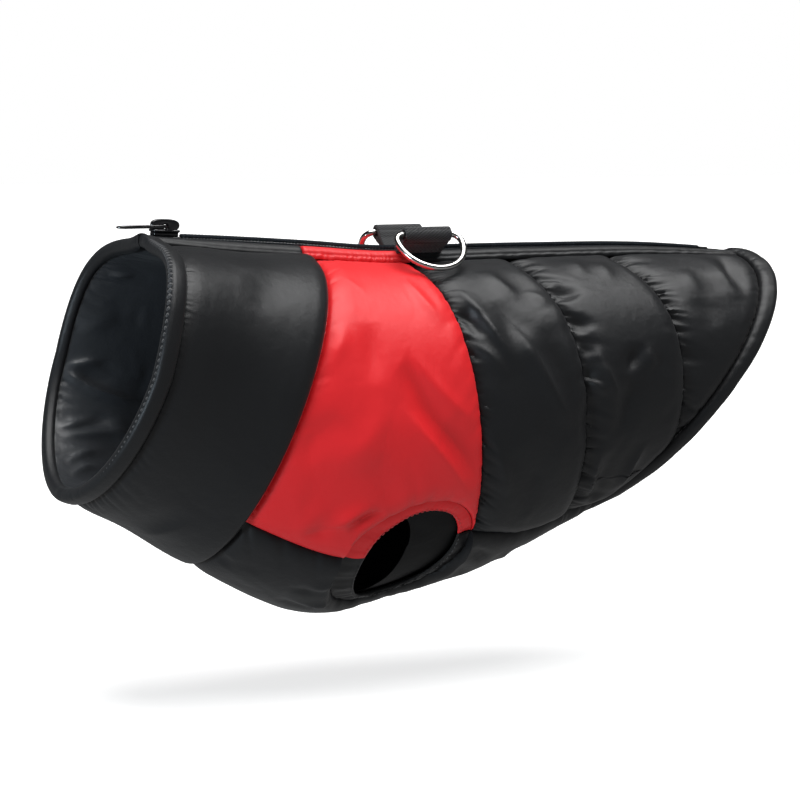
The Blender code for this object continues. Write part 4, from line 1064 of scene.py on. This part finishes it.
def build_overlock():
    """Overlock stitching over the band's edge: a roll whose radius has slanting ridges, as
    radius * (1 + 0.34 sin(2 pi distance / pitch + 1.4 cos(turn) + 0.9 sin(turn)))."""
    angle = np.linspace(*band_angles(2)[[0, -1], 0], OVERLOCK_TURNS)
    over_zip = 1 - rise(np.minimum(angle, 2 * PI - angle) * GIRTH - SLIDER_CLEARANCE, 8.0)
    station = NECK + 1.5 - 1.2 * np.sin(angle) * (1 - over_zip)
    centre = at_depth(angle, station, 1.9 + 0.7 * np.sin(angle) * (1 - over_zip) + 0.6 * over_zip)
    up = normals(angle, station)
    aside = np.cross(unit(np.gradient(centre, axis=0)), up)
    turn = np.arange(OVERLOCK_ROUND) * 2 * PI / OVERLOCK_ROUND
    slant = 2 * PI * distances(centre)[:, None] / OVERLOCK_PITCH + 1.4 * np.cos(turn) + 0.9 * np.sin(turn)
    thinned = 0.5 * over_zip + 0.45 * rise(angle - math.radians(62), 0.5) * (1 - over_zip)
    radius = OVERLOCK_RADIUS * (1 - thinned)[:, None] * (1 + 0.34 * np.sin(slant))
    roll = centre[:, None] + radius[..., None] * circles(aside, up, OVERLOCK_ROUND)
    piece("neck_overlock", roll, BLACK_THREAD)


def build_neck_stitches():
    angle = np.linspace(*collar_angles(2)[[0, -1], 0], LINE_POINTS)
    groove = surface_stitches(angle, band_edge(angle), 3.1, length=1.9, gap=0.7, radius=0.26)
    facing = NECK + (LINING_EDGE_SHARE - 0.09) * (band_edge(angle) - NECK)
    path = at_depth(angle, facing, np.full(angle.shape, 6.75))
    inside = stitches(path, -normals(angle, facing), length=2.0, gap=0.8, radius=0.22)
    piece("neck_stitches", [groove, inside], BLACK_THREAD)


# ---------------------------------------------------------------- hem, cuffs, welts

HEM_TURNS, HEM_ROUND = 420, 34
# The binding's whole section: share of its width from the panels, and depth.
HEM_PROFILE = (
    (0.00, 5.4), (0.00, 3.9), (0.05, 2.0), (0.20, 0.8), (0.52, 0.2), (0.84, 0.6),
    (1.00, 2.6), (0.99, 4.9), (0.82, 6.2), (0.50, 6.6), (0.10, 6.6),
)


def build_hem_binding():
    """The padded binding round the rear opening, from one side of the zip to the other."""
    angle = round_angles(BINDING_END, HEM, HEM_TURNS, 0.3)
    line = np.linspace(angle[0, 0] + 0.15, angle[-1, 0] - 0.15, LINE_POINTS)
    front = binding_edge(angle) + STATION_GAP
    width = float(np.mean(HEM - front))
    skin = through(np.array(HEM_PROFILE) * (width, 1), HEM_ROUND) / (width, 1)
    station = front + skin[:, 0] * (HEM - front)
    angle = np.broadcast_to(angle, station.shape)
    relief = gathers(angle * GIRTH, skin[:, 0] * width + 0 * angle, 61, 4.5, 2.4, 0.35, 0.2)
    relief += 0.8 * fold_relief(mirrored(angle), station, soft_folds(62, 20, (10, 170), (126, 142), 0.5))
    depth = skin[:, 1] + (skin[:, 1] < 4.5) * relief
    cloth_for("hem_binding", at_depth(angle, station, depth), BLACK)
    sewn = surface_stitches(line, binding_edge(line) + 0.3, 3.7, length=2.4, gap=0.8)
    piece("hem_stitches", sewn, BLACK_THREAD)


def cuff_reach(turn):
    """The cuff's width as a share of its full width: less towards the hole's back end."""
    return 1 - 0.38 * ((1 - np.cos(turn)) / 2) ** 2


# Share of the facing's width from the panels inwards, then depth.
CUFF_PROFILE = (
    (0.0, 4.8), (0.3, 4.2), (0.7, 4.2), (0.97, 5.0), (1.0, 5.7), (0.9, 6.4), (0.4, 6.6), (0.0, 6.5),
)
CUFF_TURNS, CUFF_ROUND, CUFF_DROP = 130, 30, 8.0
CUFF_RADIUS, CUFF_GAP = 22.0, 0.006  # millimetres for each radian round the hole, radians at each end
# First and last turn, pitch of the large gathers, depth of the fine ones, material, flat length.
CUFF_PARTS = {"upper": (0, PI, 11.0, 0.15, RED, 0.085), "lower": (PI, 2 * PI, 5.0, 0.5, BLACK, 0.115)}


def build_cuff(side, part, seed):
    """An elastic facing of the leg hole, gathered unevenly, with a fine rolled free edge."""
    skin = folded(through(np.array(CUFF_PROFILE) * (CUFF_DROP, 1), CUFF_ROUND), 0.4) / (CUFF_DROP, 1)
    first, last, few, fine, material, length = CUFF_PARTS[part]
    turn = np.linspace(first + CUFF_GAP, last - CUFF_GAP, CUFF_TURNS)[:, None]
    along = turn * CUFF_RADIUS
    crease = all_gathers((along, 0 * turn, seed, few, 9.0, 1.3), (along, 0 * turn, seed + 1, 2.2, 9.0, fine))
    sway = 0.03 * np.sin(along / 3.1) + 0.004 * np.sin(along / 0.9 + seed)
    angle, station = leg_curve(turn, 0.03 + skin[:, 0] * (0.97 + sway) * cuff_reach(turn))
    dent = np.clip((6.0 - skin[:, 1]) / 1.5, 0, 1) * np.sin(PI * np.clip(skin[:, 0] * 0.8 + 0.15, 0, 1))
    loops = place(side, angle, station, skin[:, 1] + crease * dent)
    obj = cloth_for("cuff_" + part + "_" + side, loops, material)


def build_cuff_stitches():
    rows = {"red": [], "black": []}
    for side in ("left", "right"):
        for colour, first in (("red", 0.0), ("black", PI)):
            turn = np.linspace(first + 0.05, first + PI - 0.05, 160)
            angle, station = leg_curve(turn, 0.9 * cuff_reach(turn))
            angle = angle if side == "left" else 2 * PI - angle
            rows[colour].append(surface_stitches(angle, station, 4.3, length=1.8, gap=0.9, radius=0.2))
    piece("cuff_stitches_red", rows["red"], RED_THREAD)
    piece("cuff_stitches_black", rows["black"], BLACK_THREAD)


def zip_strip(side, station, profile, lowered=0.0):
    """Loops of a strip along the zip. profile is its section: millimetres off the zip, and depth."""
    station = station[:, None] * np.ones(len(profile))
    offset = profile[:, 0] * (1 if side == "left" else -1)
    return at_depth(angle_of(offset, station), station, profile[:, 1] + 0 * station + lowered)


# From the welt's inner edge, under its fold, over its top and down its outer edge.
WELT_PROFILE = (
    (WELT_INNER + 2.6, 3.3), (WELT_INNER + 0.5, 3.2), (WELT_INNER, 2.6), (WELT_INNER + 0.1, 1.8),
    (WELT_INNER + 0.7, 1.05), (WELT_INNER + 1.7, 0.75), (WELT_INNER + 2.8, 0.6), (WELT_INNER + 3.9, 0.7),
    (WELT_OUTER - 1.5, 1.2), (WELT_OUTER - 0.7, 1.7), (WELT_OUTER - 0.2, 2.5), (WELT_OUTER, 3.4),
)
WELT_STITCH, WELT_ROUND, WELT_STEP = WELT_OUTER - 1.7, 26, 0.8


def build_welts():
    """The folded strips that cover the zip's tape, black, red and black, with a grooved outer edge."""
    skin = folded(through(WELT_PROFILE, WELT_ROUND), 0.5)
    face = np.clip((3.2 - skin[:, 1]) / 1.2, 0, 1)
    outer_part = np.clip((skin[:, 0] - WELT_INNER - 2.5) / 3.0, 0, 1)
    stitch = np.exp(-(((skin[:, 0] - WELT_STITCH) / 0.45) ** 2))
    end = float(np.min(binding_edge(angle_of(np.array((0.0, WELT_OUTER)), HEM)))) - STATION_GAP
    # Name, first and last station, material, flat length, depth of the stitched groove and of the puckers.
    stretches = (
        ("collar", NECK + 3.2, COLLAR - STATION_GAP, BLACK, 0.082, 0.15, 0.15),
        ("yoke", COLLAR + STATION_GAP, YOKE - STATION_GAP, RED, 0.055, 0.4, 0.6),
        ("body", YOKE + STATION_GAP, end, BLACK, 0.19, 0.4, 0.35),
    )
    for k, side in enumerate(("left", "right")):
        for name, first, last, material, length, groove, pull in stretches:
            station = first + (last - first) * shares(int((last - first) / WELT_STEP), 0.3)
            ends = rise(np.minimum(station - first, last - station), 1.6)[:, None]
            pucker = gathers(station[:, None], 0 * skin[:, 0], 111 + k + len(name), 4.6, 9.0, pull)
            lowered = face * (stitch * groove + outer_part * pucker + 1.3 * (1 - ends))
            obj = cloth_for("welt_" + name + "_" + side, zip_strip(side, station, skin, lowered), material)


# ---------------------------------------------------------------- the zip

ZIP_START_X, ZIP_END_X = -122.15, 168.0
TOOTH_PITCH, TAPE_ROWS, BED_ROWS = 0.875, 200, 160
SLIDER_X, SLIDER_BASE_Z, SLIDER_PITCH = -130.5, 12.75, math.atan2(2.5, 42.0)
SLIDER_LENGTH, SLIDER_WIDTH, SLIDER_HEIGHT = 15.5, 8.8, 4.6
PIN_HEIGHT, BAIL_HALF_LENGTH, BAIL_TOP = SLIDER_HEIGHT + 1.3, 7.3, 9.6
PULL_LENGTH, PULL_WIDTH, PULL_THICKNESS, PULL_EYE = 25.0, 6.6, 1.5, 0.9
PULL_WINDOW = (1.0, 8.0, 3.2)


def top_station(x):
    """The station whose section has its top at that x."""
    tries = np.linspace(NECK, HEM, 400)
    return np.interp(x, section(tries)["top_x"], tries)


def build_tapes():
    half = np.array(((0.35, 3.7), (2.4, 3.55), (5.0, 3.6), (ZIP_TAPE_EDGE, 3.7)))
    profile = np.concatenate([half, np.stack([half[::-1, 0], np.full(4, 4.4)], axis=-1)])
    end = float(binding_edge(angle_of(ZIP_TAPE_EDGE, HEM))) - STATION_GAP
    station = np.linspace(NECK + 1.0, end, TAPE_ROWS)
    for side in ("left", "right"):
        obj = piece("tape_" + side, zip_strip(side, station, profile), TAPE, replaces=("zip_tape_" + side,))


def build_teeth():
    """The closed coil: teeth from both sides in turn, each an ellipsoid laid across the zip, over
    the two sewn cords that carry them."""
    x = np.arange(ZIP_START_X, ZIP_END_X, TOOTH_PITCH)
    station, zero = top_station(x), np.zeros(len(x))
    centre, up = at_depth(zero, station, zero + 1.3), normals(zero, station)
    along = unit(np.gradient(centre, axis=0))
    hand = np.where(np.arange(len(x)) % 2, 1.0, -1.0)[:, None]
    across = np.array((0.0, 1.0, 0.0)) * hand + 0.55 * along
    share = np.array((-1.0, -0.85, -0.45, 0.1, 0.6, 0.9, 1.0))
    size = np.sqrt(np.maximum(1 - np.abs(share) ** 2.6, 0.03))
    spine = centre[:, None] + across[:, None] * (0.85 + 1.6 * share)[:, None]
    teeth = spine[:, :, None] + size[:, None, None] * circles(0.42 * along, 1.1 * up, 8)[:, None]
    line = np.linspace(top_station(ZIP_START_X), top_station(ZIP_END_X), BED_ROWS)
    bed = np.array(((-2.5, 3.3), (-2.3, 2.5), (-1.4, 2.3), (1.4, 2.3), (2.3, 2.5), (2.5, 3.3)))
    piece("zip_teeth", [teeth, zip_strip("left", line, bed)], TEETH, replaces=("zip_coil",))


def build_end_stop():
    station = np.linspace(top_station(ZIP_END_X) + 0.4, top_station(ZIP_END_X) + 3.4, 9)
    stop = np.array(((-2.9, 3.2), (-2.8, 1.4), (-2.2, 0.8), (2.2, 0.8), (2.8, 1.4), (2.9, 3.2)))
    ends = 0.5 * (1 - rise(np.minimum(station - station[0], station[-1] - station), 0.8))
    loops = zip_strip("left", station, stop, ends[:, None] * (stop[:, 1] < 2))
    piece("zip_end_stop", loops, DARK_STEEL, replaces=("zip_stop",))


def slider_frame(points):
    """Points in the slider's own frame, turned to the zip's slope and set on it."""
    c, s = math.cos(SLIDER_PITCH), math.sin(SLIDER_PITCH)
    x, y, z = points[..., 0], points[..., 1], points[..., 2]
    return np.stack([SLIDER_X + c * x + s * z, y, SLIDER_BASE_Z - s * x + c * z], axis=-1)


def signed_power(value, power):
    return np.sign(value) * np.abs(value) ** power


def plate(x, half_width, low, high):
    """Loops along X whose cross-section is a superellipse between two heights."""
    turn = (np.arange(20) + 0.5) * PI / 10
    y, z = signed_power(np.cos(turn), 1 / 1.6), signed_power(np.sin(turn), 1 / 1.6)
    x, half_width, low, high = (part[:, None] for part in np.broadcast_arrays(x, half_width, low, high))
    y = half_width * y
    return np.stack([x + 0 * y, y, (low + high) / 2 + (high - low) / 2 * z], axis=-1)


def rounded(turn, half_length, half_width, power):
    """Points of a superellipse: a box whose corners are rounder the nearer the power is to 1."""
    x, y = signed_power(np.cos(turn), power), signed_power(np.sin(turn), power)
    return np.stack([half_length * x, half_width * y], axis=-1)


def framed_plate(rim, window, thickness):
    """Loops of a flat plate with a window. Each runs across the band from rim to window and back."""
    # Share of the way from rim to window, then height as a share of half the thickness.
    profile = np.array(((0, 0.45), (0.04, 0.85), (0.13, 1), (0.87, 1), (0.96, 0.85), (1, 0.45)))
    profile = np.concatenate([profile, profile[::-1] * (1, -1)])
    flat = rim[:, None] + profile[:, :1] * (window - rim)[:, None]
    z = profile[:, 1] * thickness / 2 + 0 * flat[..., 0]
    return np.concatenate([flat, z[..., None]], axis=-1)


def build_slider():
    """The slider: two plates on a waisted body that narrows to the tail, and a bridge on them, a
    rounded plate on edge with a hole for the pull's bar."""
    half = SLIDER_LENGTH / 2
    s = np.linspace(-1, 1, 31)
    nose = np.sqrt(np.clip(1 - np.maximum((-s - 0.75) / 0.25, 0) ** 2, 0.02, 1))
    tail = np.sqrt(np.clip(1 - np.maximum((s - 0.86) / 0.14, 0) ** 2, 0.02, 1))
    plan = np.interp(s, (-1, -0.2, 0.45, 1), (1.0, 1.0, 0.62, 0.54)) * SLIDER_WIDTH / 2 * nose * tail
    thin = 0.3 * (1 - nose * tail)
    low = plate(s * half, plan, thin, 1.3 - thin)
    top = plate(s * half * 0.98, plan * 0.97, 3.2 + thin, SLIDER_HEIGHT - thin)
    waist = plate(s * half * 0.9, plan * 0.72, 1.0, 3.5)
    plates = [slider_frame(loops) for loops in (low, top, waist)]
    piece("slider", plates, ENAMEL, replaces=("zip_slider",))
    turn = np.linspace(0, 2 * PI, 64, endpoint=False)
    middle, reach = (BAIL_TOP + SLIDER_HEIGHT - 1.0) / 2, (BAIL_TOP - SLIDER_HEIGHT + 1.0) / 2
    rim = rounded(turn, BAIL_HALF_LENGTH, reach, 0.8) + (0, middle)
    hole = rounded(turn, 1.05, 1.05, 1.0) + (0, PIN_HEIGHT)
    bridge = framed_plate(rim, hole, 2.5)[..., (0, 2, 1)]
    piece("slider_bridge", slider_frame(bridge), ENAMEL, ring=True)


def build_pull():
    """The pull: a flat tongue round a window, waisted behind it and rounded at its tip."""
    pin = slider_frame(np.array((0.0, 0.0, PIN_HEIGHT)))
    turn = np.linspace(0, 2 * PI, 96, endpoint=False)
    rim = rounded(turn, PULL_LENGTH / 2, PULL_WIDTH / 2, 0.45) + (PULL_EYE - PULL_LENGTH / 2, 0)
    share = (PULL_EYE - rim[:, 0]) / PULL_LENGTH
    rim[:, 1] *= np.interp(share, (0, 0.34, 0.5, 0.9, 1), (1, 1, 0.78, 0.95, 0.9))
    start, end, width = PULL_WINDOW
    window = rounded(turn, (end - start) / 2, width / 2, 0.5) - ((start + end) / 2, 0)
    loops = framed_plate(rim, window, PULL_THICKNESS) + pin
    piece("pull", loops, ENAMEL, ring=True, body="pull", replaces=("zip_pull",))


# ---------------------------------------------------------------- leash rings and their loops

RING_X, RING_BAR_Y, RING_BAR_Z = 1.0, 16.5, 13.0
RING_WIDTH, RING_REACH, RING_WIRE, RING_CORNER = 35.0, 23.0, 1.6, 5.0
RING_HANG = math.radians(43.0)
LOOP_WIDTH, WEBBING_THICKNESS, LOOP_SLACK = 25.0, 1.7, 0.5
LOOP_DROP, LOOP_LEAN, LOOP_ROUND, LOOP_ROWS = 12.45, math.radians(50.0), 72, 56


def ring_outline():
    """Points round the ring in its own plane: along the bar, round two corners, and round the bow."""
    half, corner = RING_WIDTH / 2, RING_CORNER
    bar = np.stack([np.linspace(half - corner, corner - half, 26)[1:-1], np.zeros(24)], axis=-1)
    turn = np.linspace(0, PI / 2, 9)
    near = np.stack([corner - half - corner * np.sin(turn), corner - corner * np.cos(turn)], axis=-1)
    far = np.stack([half - corner + corner * np.cos(turn), corner - corner * np.sin(turn)], axis=-1)
    turn = np.linspace(0, PI, 62)[1:-1]
    bow = np.stack([-half * np.cos(turn), corner + (RING_REACH - corner) * np.sin(turn)], axis=-1)
    return np.concatenate([bar, near, bow, far])


def build_ring(side, hand):
    """A leash ring: round wire along the outline, turned down about its bar."""
    x, out = ring_outline().T
    across, drop = math.cos(RING_HANG), math.sin(RING_HANG)
    path = np.stack([RING_X + x, hand * (RING_BAR_Y + out * across), RING_BAR_Z - out * drop], axis=-1)
    loops = tube(path, RING_WIRE, 18, (0, hand * drop, across))
    name = "leash_ring_" + side
    piece(name + "_wire", loops, STEEL, ring=True, body="ring_" + side, replaces=(name,))


def leaning(across, up):
    """The strap leans out from its foot: points of its upright section turned about the bar."""
    cos, sin = math.cos(LOOP_LEAN), math.sin(LOOP_LEAN)
    return np.stack([across * cos + up * sin, up * cos - across * sin], axis=-1)


def build_loop(side, hand):
    """A strap of webbing folded over the ring's bar, and sewn together close by it and at its
    foot. Its section runs up one ply, over the bar and down the other, and back along the inside."""
    inner, ply = RING_WIRE + LOOP_SLACK, 0.12 + WEBBING_THICKNESS
    over = np.linspace(-0.18 * PI, 1.18 * PI, 25)
    arc = np.stack([np.cos(over), np.sin(over)], axis=-1)
    dented = inner + WEBBING_THICKNESS - 0.5 * np.exp(-(((over - math.radians(92)) / 0.16) ** 2))
    leg = np.array(((1.5, -3.2), (1.1, -4.6), (0.5, -6.4), (0.3, -9.0), (0.2, -LOOP_DROP))) + (ply, 0)
    back = np.array(((0.1, -4.2), (0.08, -5.6), (0.08, -7.0), (0.08, -8.6), (0.1, -LOOP_DROP)))
    outer = through(np.concatenate([leg[::-1], dented[:, None] * arc, leg * (-1, 1)]), LOOP_ROUND)
    inside = through(np.concatenate([back[::-1], inner * arc, back * (-1, 1)]), LOOP_ROUND)
    x = RING_X + LOOP_WIDTH / 2 * (2 * shares(LOOP_ROWS, 0.5) - 1)
    ends = 1 - rise(np.minimum(x - x[0], x[-1] - x), 0.7)
    middle = (outer + inside) / 2
    shape, middle = np.concatenate([outer, inside[::-1]]), np.concatenate([middle, middle[::-1]])
    shape = shape + ends[:, None, None] * 0.45 * (middle - shape)
    shape = leaning(shape[..., 0], shape[..., 1])
    y = RING_BAR_Y + shape[..., 0] + 0.12 * np.sin(x / 3.1 + 1.0)[:, None]
    loops = np.stack([x[:, None] + 0 * y, hand * y, RING_BAR_Z + shape[..., 1]], axis=-1)
    name = "ring_loop_" + side
    obj = piece(name + "_webbing", loops, WEBBING, replaces=(name,))
    rows, line = [], np.linspace(RING_X - 11.3, RING_X + 11.3, 80)
    # Each row of stitches by its place across and up the upright strap, and the way it faces.
    places = ((-ply - 0.95, -5.2, PI), (ply + 0.9, -5.2, 0.0), (0.0, 3.4, PI / 2), (ply + 0.25, -10.5, 0.0))
    for across, up, turn in places:
        row, outward = leaning(across, up), leaning(math.cos(turn), math.sin(turn))
        y, z = hand * (RING_BAR_Y + row[0]), RING_BAR_Z + row[1]
        path = np.stack([line, y + 0 * line, z + 0 * line], axis=-1)
        out = np.broadcast_to((0.0, hand * outward[0], outward[1]), path.shape)
        rows.append(stitches(path, out, length=2.2, gap=0.7, radius=0.24))
    piece(name + "_stitches", rows, BLACK_THREAD)


# ---------------------------------------------------------------- studio

FLOOR_DROP = 0.037  # the floor lies this far below the coat, which its wearer would hold up


def facing(direction):
    """The turn that points a light or a camera that way."""
    return Vector(direction).to_track_quat("-Z", "Y").to_euler()


def build_floor():
    """A pale floor."""
    low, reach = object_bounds()[0].z - FLOOR_DROP, 9.0
    mesh = bpy.data.meshes.new("floor")
    corners = [(-reach, -reach, low), (reach, -reach, low), (reach, reach, low), (-reach, reach, low)]
    mesh.from_pydata(corners, [], [(0, 1, 2, 3)])
    finish = Finish("floor_paint", Base_Color=rgba(0.5, 0.5, 0.5), Roughness=0.9, Specular_IOR_Level=0.1)
    finish.set(Emission_Color=rgba(1.0, 1.0, 1.0), Emission_Strength=0.68)
    mesh.materials.append(finish.material)
    floor = add_object("floor", mesh)
    floor.visible_glossy = floor.visible_diffuse = False


def build_lights():
    """A wide soft light from above, and a weak one before the neck."""
    overhead = bpy.data.lights.new("overhead", "SUN")
    overhead.energy, overhead.angle = 5.2, math.radians(60)
    add_object("overhead", overhead).rotation_euler = facing((-0.10, 0.12, -1.0))
    fill = bpy.data.lights.new("neck_fill", "AREA")
    fill.shape, fill.size, fill.size_y = "RECTANGLE", 0.5, 0.3
    fill.energy, fill.color = 18.0, (0.74, 0.88, 1.0)
    fill = add_object("neck_fill", fill)
    fill.location = (-1.7, -0.45, -0.04)
    fill.rotation_euler = facing(Vector((-0.1, 0.0, -0.1)) - fill.location)


def build_surroundings():
    """White to the camera, dim to shiny surfaces and pale to dull ones, and to both paler below, as
    over a floor."""
    world = bpy.data.worlds.new("studio")
    bpy.context.scene.world = world
    world.use_nodes = True
    tree = world.node_tree
    rays = tree.nodes.new("ShaderNodeLightPath")
    towards = tree.nodes.new("ShaderNodeTexCoord")
    parts = tree.nodes.new("ShaderNodeSeparateXYZ")
    tree.links.new(towards.outputs["Generated"], parts.inputs[0])
    backgrounds = [tree.nodes.new("ShaderNodeBackground") for _ in range(3)]
    for shade in backgrounds:
        shade.inputs["Color"].default_value = rgba(1.0, 1.0, 1.0)
        shade.inputs["Strength"].default_value = 1.0
    for shade, level in zip(backgrounds, (0.14, 0.52)):
        paler = tree.nodes.new("ShaderNodeMath")
        paler.operation, paler.use_clamp = "MULTIPLY_ADD", True
        paler.inputs[1].default_value, paler.inputs[2].default_value = -0.36, level
        tree.links.new(parts.outputs["Z"], paler.inputs[0])
        tree.links.new(paler.outputs[0], shade.inputs["Strength"])
    seen = backgrounds[0].outputs[0]
    for ray, shade in zip(("Is Diffuse Ray", "Is Camera Ray"), backgrounds[1:]):
        mix = tree.nodes.new("ShaderNodeMixShader")
        tree.links.new(rays.outputs[ray], mix.inputs[0])
        tree.links.new(seen, mix.inputs[1])
        tree.links.new(shade.outputs[0], mix.inputs[2])
        seen = mix.outputs[0]
    tree.links.new(seen, tree.nodes["World Output"].inputs["Surface"])


CAMERA_YAW, CAMERA_ELEVATION, CAMERA_DISTANCE = math.radians(26), math.radians(3), 1.30
CAMERA_LENS, CAMERA_HEIGHT = 117.0, 0.0035
AIM = (2600.0, -10.0, -148.0)  # the look direction along, right of and above the line to the coat


def build_camera():
    """The camera stands 26 degrees round to the tail's side and looks slightly down on the coat."""
    level, sine, cosine = math.cos(CAMERA_ELEVATION), math.sin(CAMERA_YAW), math.cos(CAMERA_YAW)
    ahead = Vector((sine * level, cosine * level, -math.sin(CAMERA_ELEVATION)))
    right = Vector((cosine, -sine, 0.0))
    data = bpy.data.cameras.new("camera")
    data.lens, data.sensor_width = CAMERA_LENS, 36.0
    camera = add_object("camera", data)
    camera.location = Vector((0.0, 0.0, CAMERA_HEIGHT)) - CAMERA_DISTANCE * ahead
    camera.rotation_euler = facing(AIM[0] * ahead + AIM[1] * right + AIM[2] * right.cross(ahead))
    bpy.context.scene.camera = camera
    bpy.context.scene.view_settings.view_transform = "Standard"


build_camera()
build_collar()
build_collar_lining()
build_neck_band()
build_overlock()
build_neck_stitches()
for side, seed in (("left", 11), ("right", 211)):
    build_yoke(side, seed)
    build_flank(side, seed + 100)
    for part in ("upper", "lower"):
        build_cuff(side, part, seed + len(part) + ord(part[0]))
build_under_panel()
for side, seed in (("left", 91), ("right", 95)):
    build_side_lining(side, seed)
build_under_lining()
build_hem_binding()
build_cuff_stitches()
build_welts()
build_tapes()
build_teeth()
build_end_stop()
build_slider()
build_pull()
for side, hand in (("left", -1), ("right", 1)):
    build_ring(side, hand)
    build_loop(side, hand)
build_floor()
build_lights()
build_surroundings()
